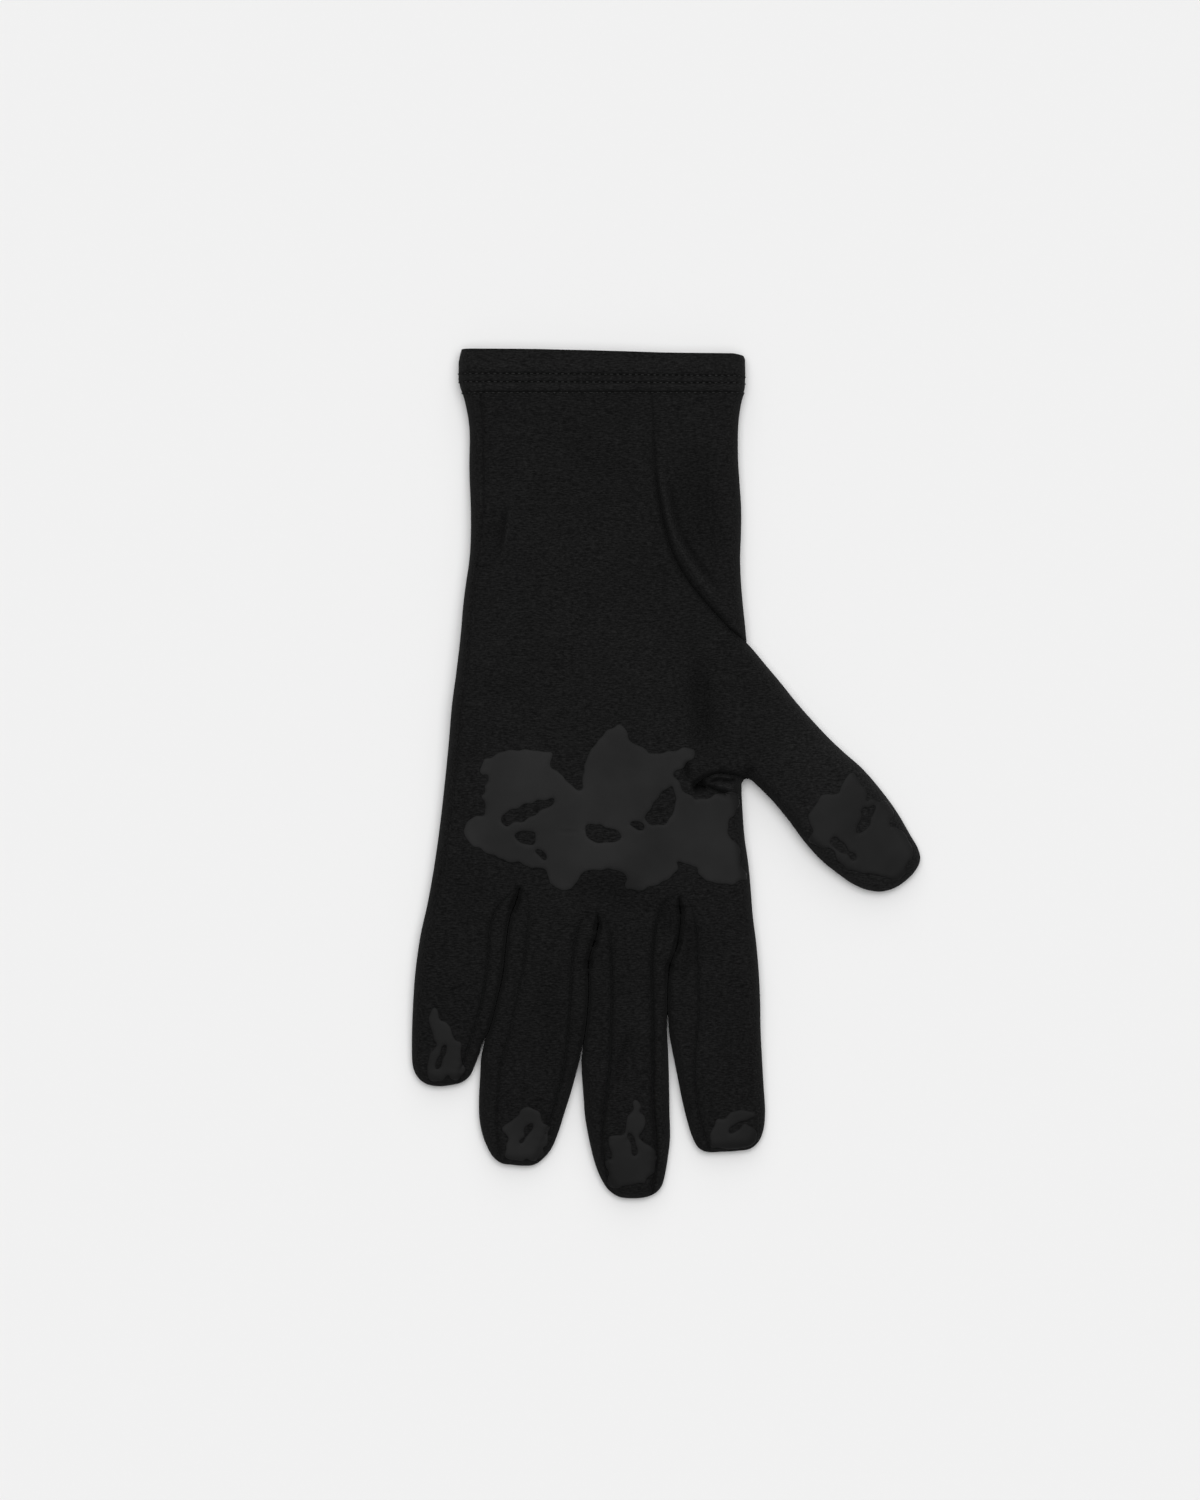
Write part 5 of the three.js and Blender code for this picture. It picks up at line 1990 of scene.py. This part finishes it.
@dataclass
class Grip:
    """The printed grip, as thin closed skins on the palm side.

    Attributes:
        drape: The surface that it lies on.
        film: The height of its face over the cloth.
        foot: The height of its underside over the cloth.
        lip: The height of its face along its edge.
        lip_width: How far in from its edge it has its full height.
        oval_wave: How far an oval's edge waves in and out, as a share of its radius.
        oval_waves: How many such waves it has.
        melt: How far ovals run together where they meet, in pixels.
        deepest: The most of those distances that counts.
        wander: Wavelengths of the edge's wandering, and how far each goes, in pixels.
        wander_waves: How many waves there are of each length.
        first_seed: The seed of the first patch's waves; each next one's is one more.
        room: How far past its lobes a patch is looked for, in pixels.
        margin: How far it stays inside the glove's own edge.
        least_bay: The area of the smallest bay that is left open.
        spacing: The distance between points along its edge.
        grid: The distance between free points.
        grid_room: How close points of the grid may come, as a share of that.
        rim_row: How far from its edge a row of points runs.
        rim_room: How close points of that row may come.
        edge_gap: How near to the glove's edge a free point may lie.
    """

    drape: Drape
    film: float = 0.34 * MM
    foot: float = 0.03 * MM
    lip: float = 0.12 * MM
    lip_width: float = 0.45 * MM
    oval_wave: float = 0.12
    oval_waves: int = 3
    melt: float = 2.2
    deepest: float = 60.0
    wander: tuple[tuple[float, float], ...] = ((22.0, 1.2), (13.0, 0.8), (8.0, 0.35))
    wander_waves: int = 4
    first_seed: int = 100
    room: float = 9.0
    margin: float = 0.9 * MM
    least_bay: float = 1.5 * MM**2
    spacing: float = 0.5 * MM
    grid: float = 0.85 * MM
    grid_room: float = 0.6
    rim_row: float = 0.3 * MM
    rim_room: float = 0.22 * MM
    edge_gap: float = 0.1 * MM

    def oval(self, points: Array, oval: Sequence[float]) -> Array:
        """Finds how far inside a wavy oval points lie.

        Args:
            points: Plan points.
            oval: Its middle, its half axes and its turn.

        Returns:
            The distance for each point, in pixels.
        """
        x, y, length, width, degrees = oval
        turn = math.radians(degrees)
        away = (points - PHOTO.plan([(x, y)])[0]) / PHOTO.scale
        u = (away[:, 0] * math.cos(turn) + away[:, 1] * math.sin(turn)) / length
        v = (away[:, 1] * math.cos(turn) - away[:, 0] * math.sin(turn)) / width
        reach = 1 + self.oval_wave * np.cos(self.oval_waves * np.arctan2(v, u))
        return (reach - np.hypot(u, v)) * min(length, width)

    def shape(self, points: Array, blotch: Blotch, number: int) -> Array:
        """Finds how far inside a patch's wandering edge points lie.

        Args:
            points: Plan points.
            blotch: The patch's shape.
            number: Its place in the list, which seeds its edge.

        Returns:
            The distance for each point, in pixels.
        """
        lobes = [self.oval(points, each) / self.melt for each in blotch.lobes]
        total = sum(np.exp(np.clip(each, -self.deepest, self.deepest)) for each in lobes)
        inward = self.melt * np.log(total)
        for bay in blotch.bays:
            inward = np.minimum(inward, -self.oval(points, bay))
        rng = np.random.default_rng(self.first_seed + number)
        for length, reach in self.wander:
            for _ in range(self.wander_waves):
                angle, phase = rng.uniform(0, 2 * math.pi, 2)
                along = points @ np.array([math.cos(angle), math.sin(angle)]) / PHOTO.scale
                inward += reach / 2 * np.sin(2 * math.pi * along / length + phase)
        gap = self.drape.edges.distance(points)
        room = (np.where(inside(points, self.drape.loop), gap, -gap) - self.margin) / PHOTO.scale
        return np.minimum(inward, room)

    def edges(self, blotch: Blotch, number: int) -> list[Array]:
        """Finds a patch's outline and the edges of its bays.

        Args:
            blotch: Its shape.
            number: Its place in the list, which seeds its edge.

        Returns:
            Closed loops without repeated points, the outline first.
        """
        corners = []
        for x, y, length, width, _ in blotch.lobes:
            reach = max(length, width) + self.room
            corners += [(x - reach, y + reach), (x + reach, y - reach)]
        box = PHOTO.plan(corners)
        low, high = box.min(0), box.max(0)
        xs, ys = (np.arange(low[k], high[k], self.spacing) for k in (0, 1))
        grid = np.stack(np.meshgrid(xs, ys, indexing="ij"), axis=-1).reshape(-1, 2)
        values = self.shape(grid, blotch, number).reshape(len(xs), len(ys))
        outline, *others = zero_lines(xs, ys, values)
        bays = [each for each in others if enclosed(each) < -self.least_bay]
        return [self.evened(each) for each in (outline, *bays)]

    def evened(self, loop: Array) -> Array:
        """Makes a loop a little smoother, with even steps.

        Args:
            loop: Its points, without a repeated one.

        Returns:
            Its new points.
        """
        for _ in range(2):
            loop = (np.roll(loop, 1, axis=0) + 2 * loop + np.roll(loop, -1, axis=0)) / 4
        return resample(np.vstack([loop, loop[:1]]), self.spacing)[:-1]

    def patch(self, blotch: Blotch, number: int, finish: Material) -> Piece:
        """Makes one patch.

        Args:
            blotch: Its shape.
            number: Its place in the list, which seeds its edge.
            finish: The print's material.

        Returns:
            The patch, as a closed skin.
        """
        loops = self.edges(blotch, number)
        edge = np.vstack(loops)
        grid = hex_grid(edge.min(0), edge.max(0), self.grid)
        rims = np.vstack(
            [each + sign * left_normals(each) * self.rim_row for each in loops for sign in (-1, 1)]
        )
        free = np.vstack([rims, grid])
        least = np.repeat([self.rim_room, self.grid_room * self.grid], [len(rims), len(grid)])
        keep = inside(free, loops[0]) & (self.drape.edges.distance(free) > self.edge_gap)
        net = PlanNet(loops, [], free[keep], least[keep])
        points, faces = net.points, net.triangles
        gap = EdgeField(np.vstack([np.vstack([each, each[:1]]) for each in loops])).distance(points)
        lift = self.lip + (self.film - self.lip) * smoothstep(gap / self.lip_width)
        top = self.drape.surface(points, lift)
        foot = self.drape.surface(points, np.full(len(points), self.foot))
        pairs = np.vstack([faces[:, [0, 1]], faces[:, [1, 2]], faces[:, [2, 0]]])
        known = {tuple(p) for p in pairs.tolist()}
        rim = [(a, b) for a, b in pairs.tolist() if (b, a) not in known]
        count = len(points)
        walls = [w for a, b in rim for w in ((b, a, a + count), (b, a + count, b + count))]
        every = [*faces.tolist(), *(faces[:, ::-1] + count).tolist(), *walls]
        used, numbers = np.unique(np.array(every), return_inverse=True)
        made = mesh_object(f"{blotch.node}_print", np.vstack([top, foot])[used], numbers.reshape(-1, 3))
        made.data.materials.append(finish)
        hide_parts(blotch.node)
        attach(made, BODY)
        LOG.info("%s: %d faces", made.name, len(made.data.polygons))
        return made

    def build(self, finish: Material) -> list[Piece]:
        """Makes every patch."""
        return [self.patch(blotch, number, finish) for number, blotch in enumerate(BLOTCHES)]


@dataclass
class Studio:
    """The pale floor, the soft light and the camera straight above.

    Attributes:
        lens: The camera's focal length, in millimetres.
        sensor: The height of its sensor, in millimetres.
        floor_size: The side of the floor.
        floor_drop: How far it lies under the glove.
        nearest: The nearest that the camera sees.
        sky: The strength of the even light.
        lamps: Soft lamps far away: the strength, where the light comes from and how wide it is.
    """

    lens: float = 250.0
    sensor: float = 36.0
    floor_size: float = 6.0
    floor_drop: float = 0.1 * MM
    nearest: float = 0.1
    sky: float = 0.11
    lamps: tuple[tuple[float, tuple[float, float, float], float], ...] = (
        (2.2, (0.05, 0.12, 1.0), math.radians(56)),
        (1.26, (0.05, 0.9, 1.0), math.radians(70)),
    )

    def build(self) -> None:
        """Makes the floor, the lights and the camera."""
        self.floor()
        self.lights()
        self.camera()
        bpy.context.scene.view_settings.view_transform = "Standard"

    def floor(self) -> None:
        """Lays the floor just under the glove."""
        half = self.floor_size / 2
        corners = np.array([[-half, -half, 0], [half, -half, 0], [half, half, 0], [-half, half, 0]])
        corners[:, 2] = CAD_LOW.z - self.floor_drop
        made = mesh_object("floor", corners, [(0, 1, 2, 3)])
        made.data.materials.append(FloorFinish().material())

    def lights(self) -> None:
        """Lights the room evenly, and more from above and from the cuff's end."""
        world = bpy.data.worlds.new("studio")
        world.use_nodes = True
        background = world.node_tree.nodes["Background"]
        background.inputs["Color"].default_value = (1, 1, 1, 1)
        background.inputs["Strength"].default_value = self.sky
        bpy.context.scene.world = world
        for number, (energy, source, width) in enumerate(self.lamps):
            lamp = bpy.data.lights.new(f"lamp_{number}", "SUN")
            lamp.energy, lamp.angle = energy, width
            made = bpy.data.objects.new(lamp.name, lamp)
            made.rotation_euler = Vector(source).to_track_quat("Z", "Y").to_euler()
            bpy.context.scene.collection.objects.link(made)

    def camera(self) -> None:
        """Hangs a long lens straight over the photograph's middle."""
        x, y = PHOTO.plan([(PHOTO.image_width / 2, PHOTO.image_height / 2)])[0]
        away = PHOTO.image_height * PHOTO.scale * self.lens / self.sensor
        data = bpy.data.cameras.new("camera")
        data.lens, data.sensor_width = self.lens, self.sensor
        data.clip_start = self.nearest
        data.clip_end = 2 * away
        made = bpy.data.objects.new("camera", data)
        made.location = (x, y, away)
        bpy.context.scene.collection.objects.link(made)
        bpy.context.scene.camera = made


def main() -> None:
    """Builds the glove and the studio, and reports each piece."""
    logging.basicConfig(level=logging.INFO, format="%(message)s")
    Studio().build()
    drape = Drape()
    shell = Shell(drape)
    panels = shell.build()
    shell.dress(panels, JerseyFinish())
    hem = Hem(drape)
    # The hem's cloth is a lighter copy of the jersey: painted light, for the hem catching more light.
    hem.build(JerseyFinish("hem_jersey", grey=0.0094).material())
    Grip(drape).build(PrintFinish().material())
    thread = ThreadFinish().material()
    Stitching("hem_stitches").build(hem.stitch_rows(), thread)


if __name__ == "__main__":
    main()
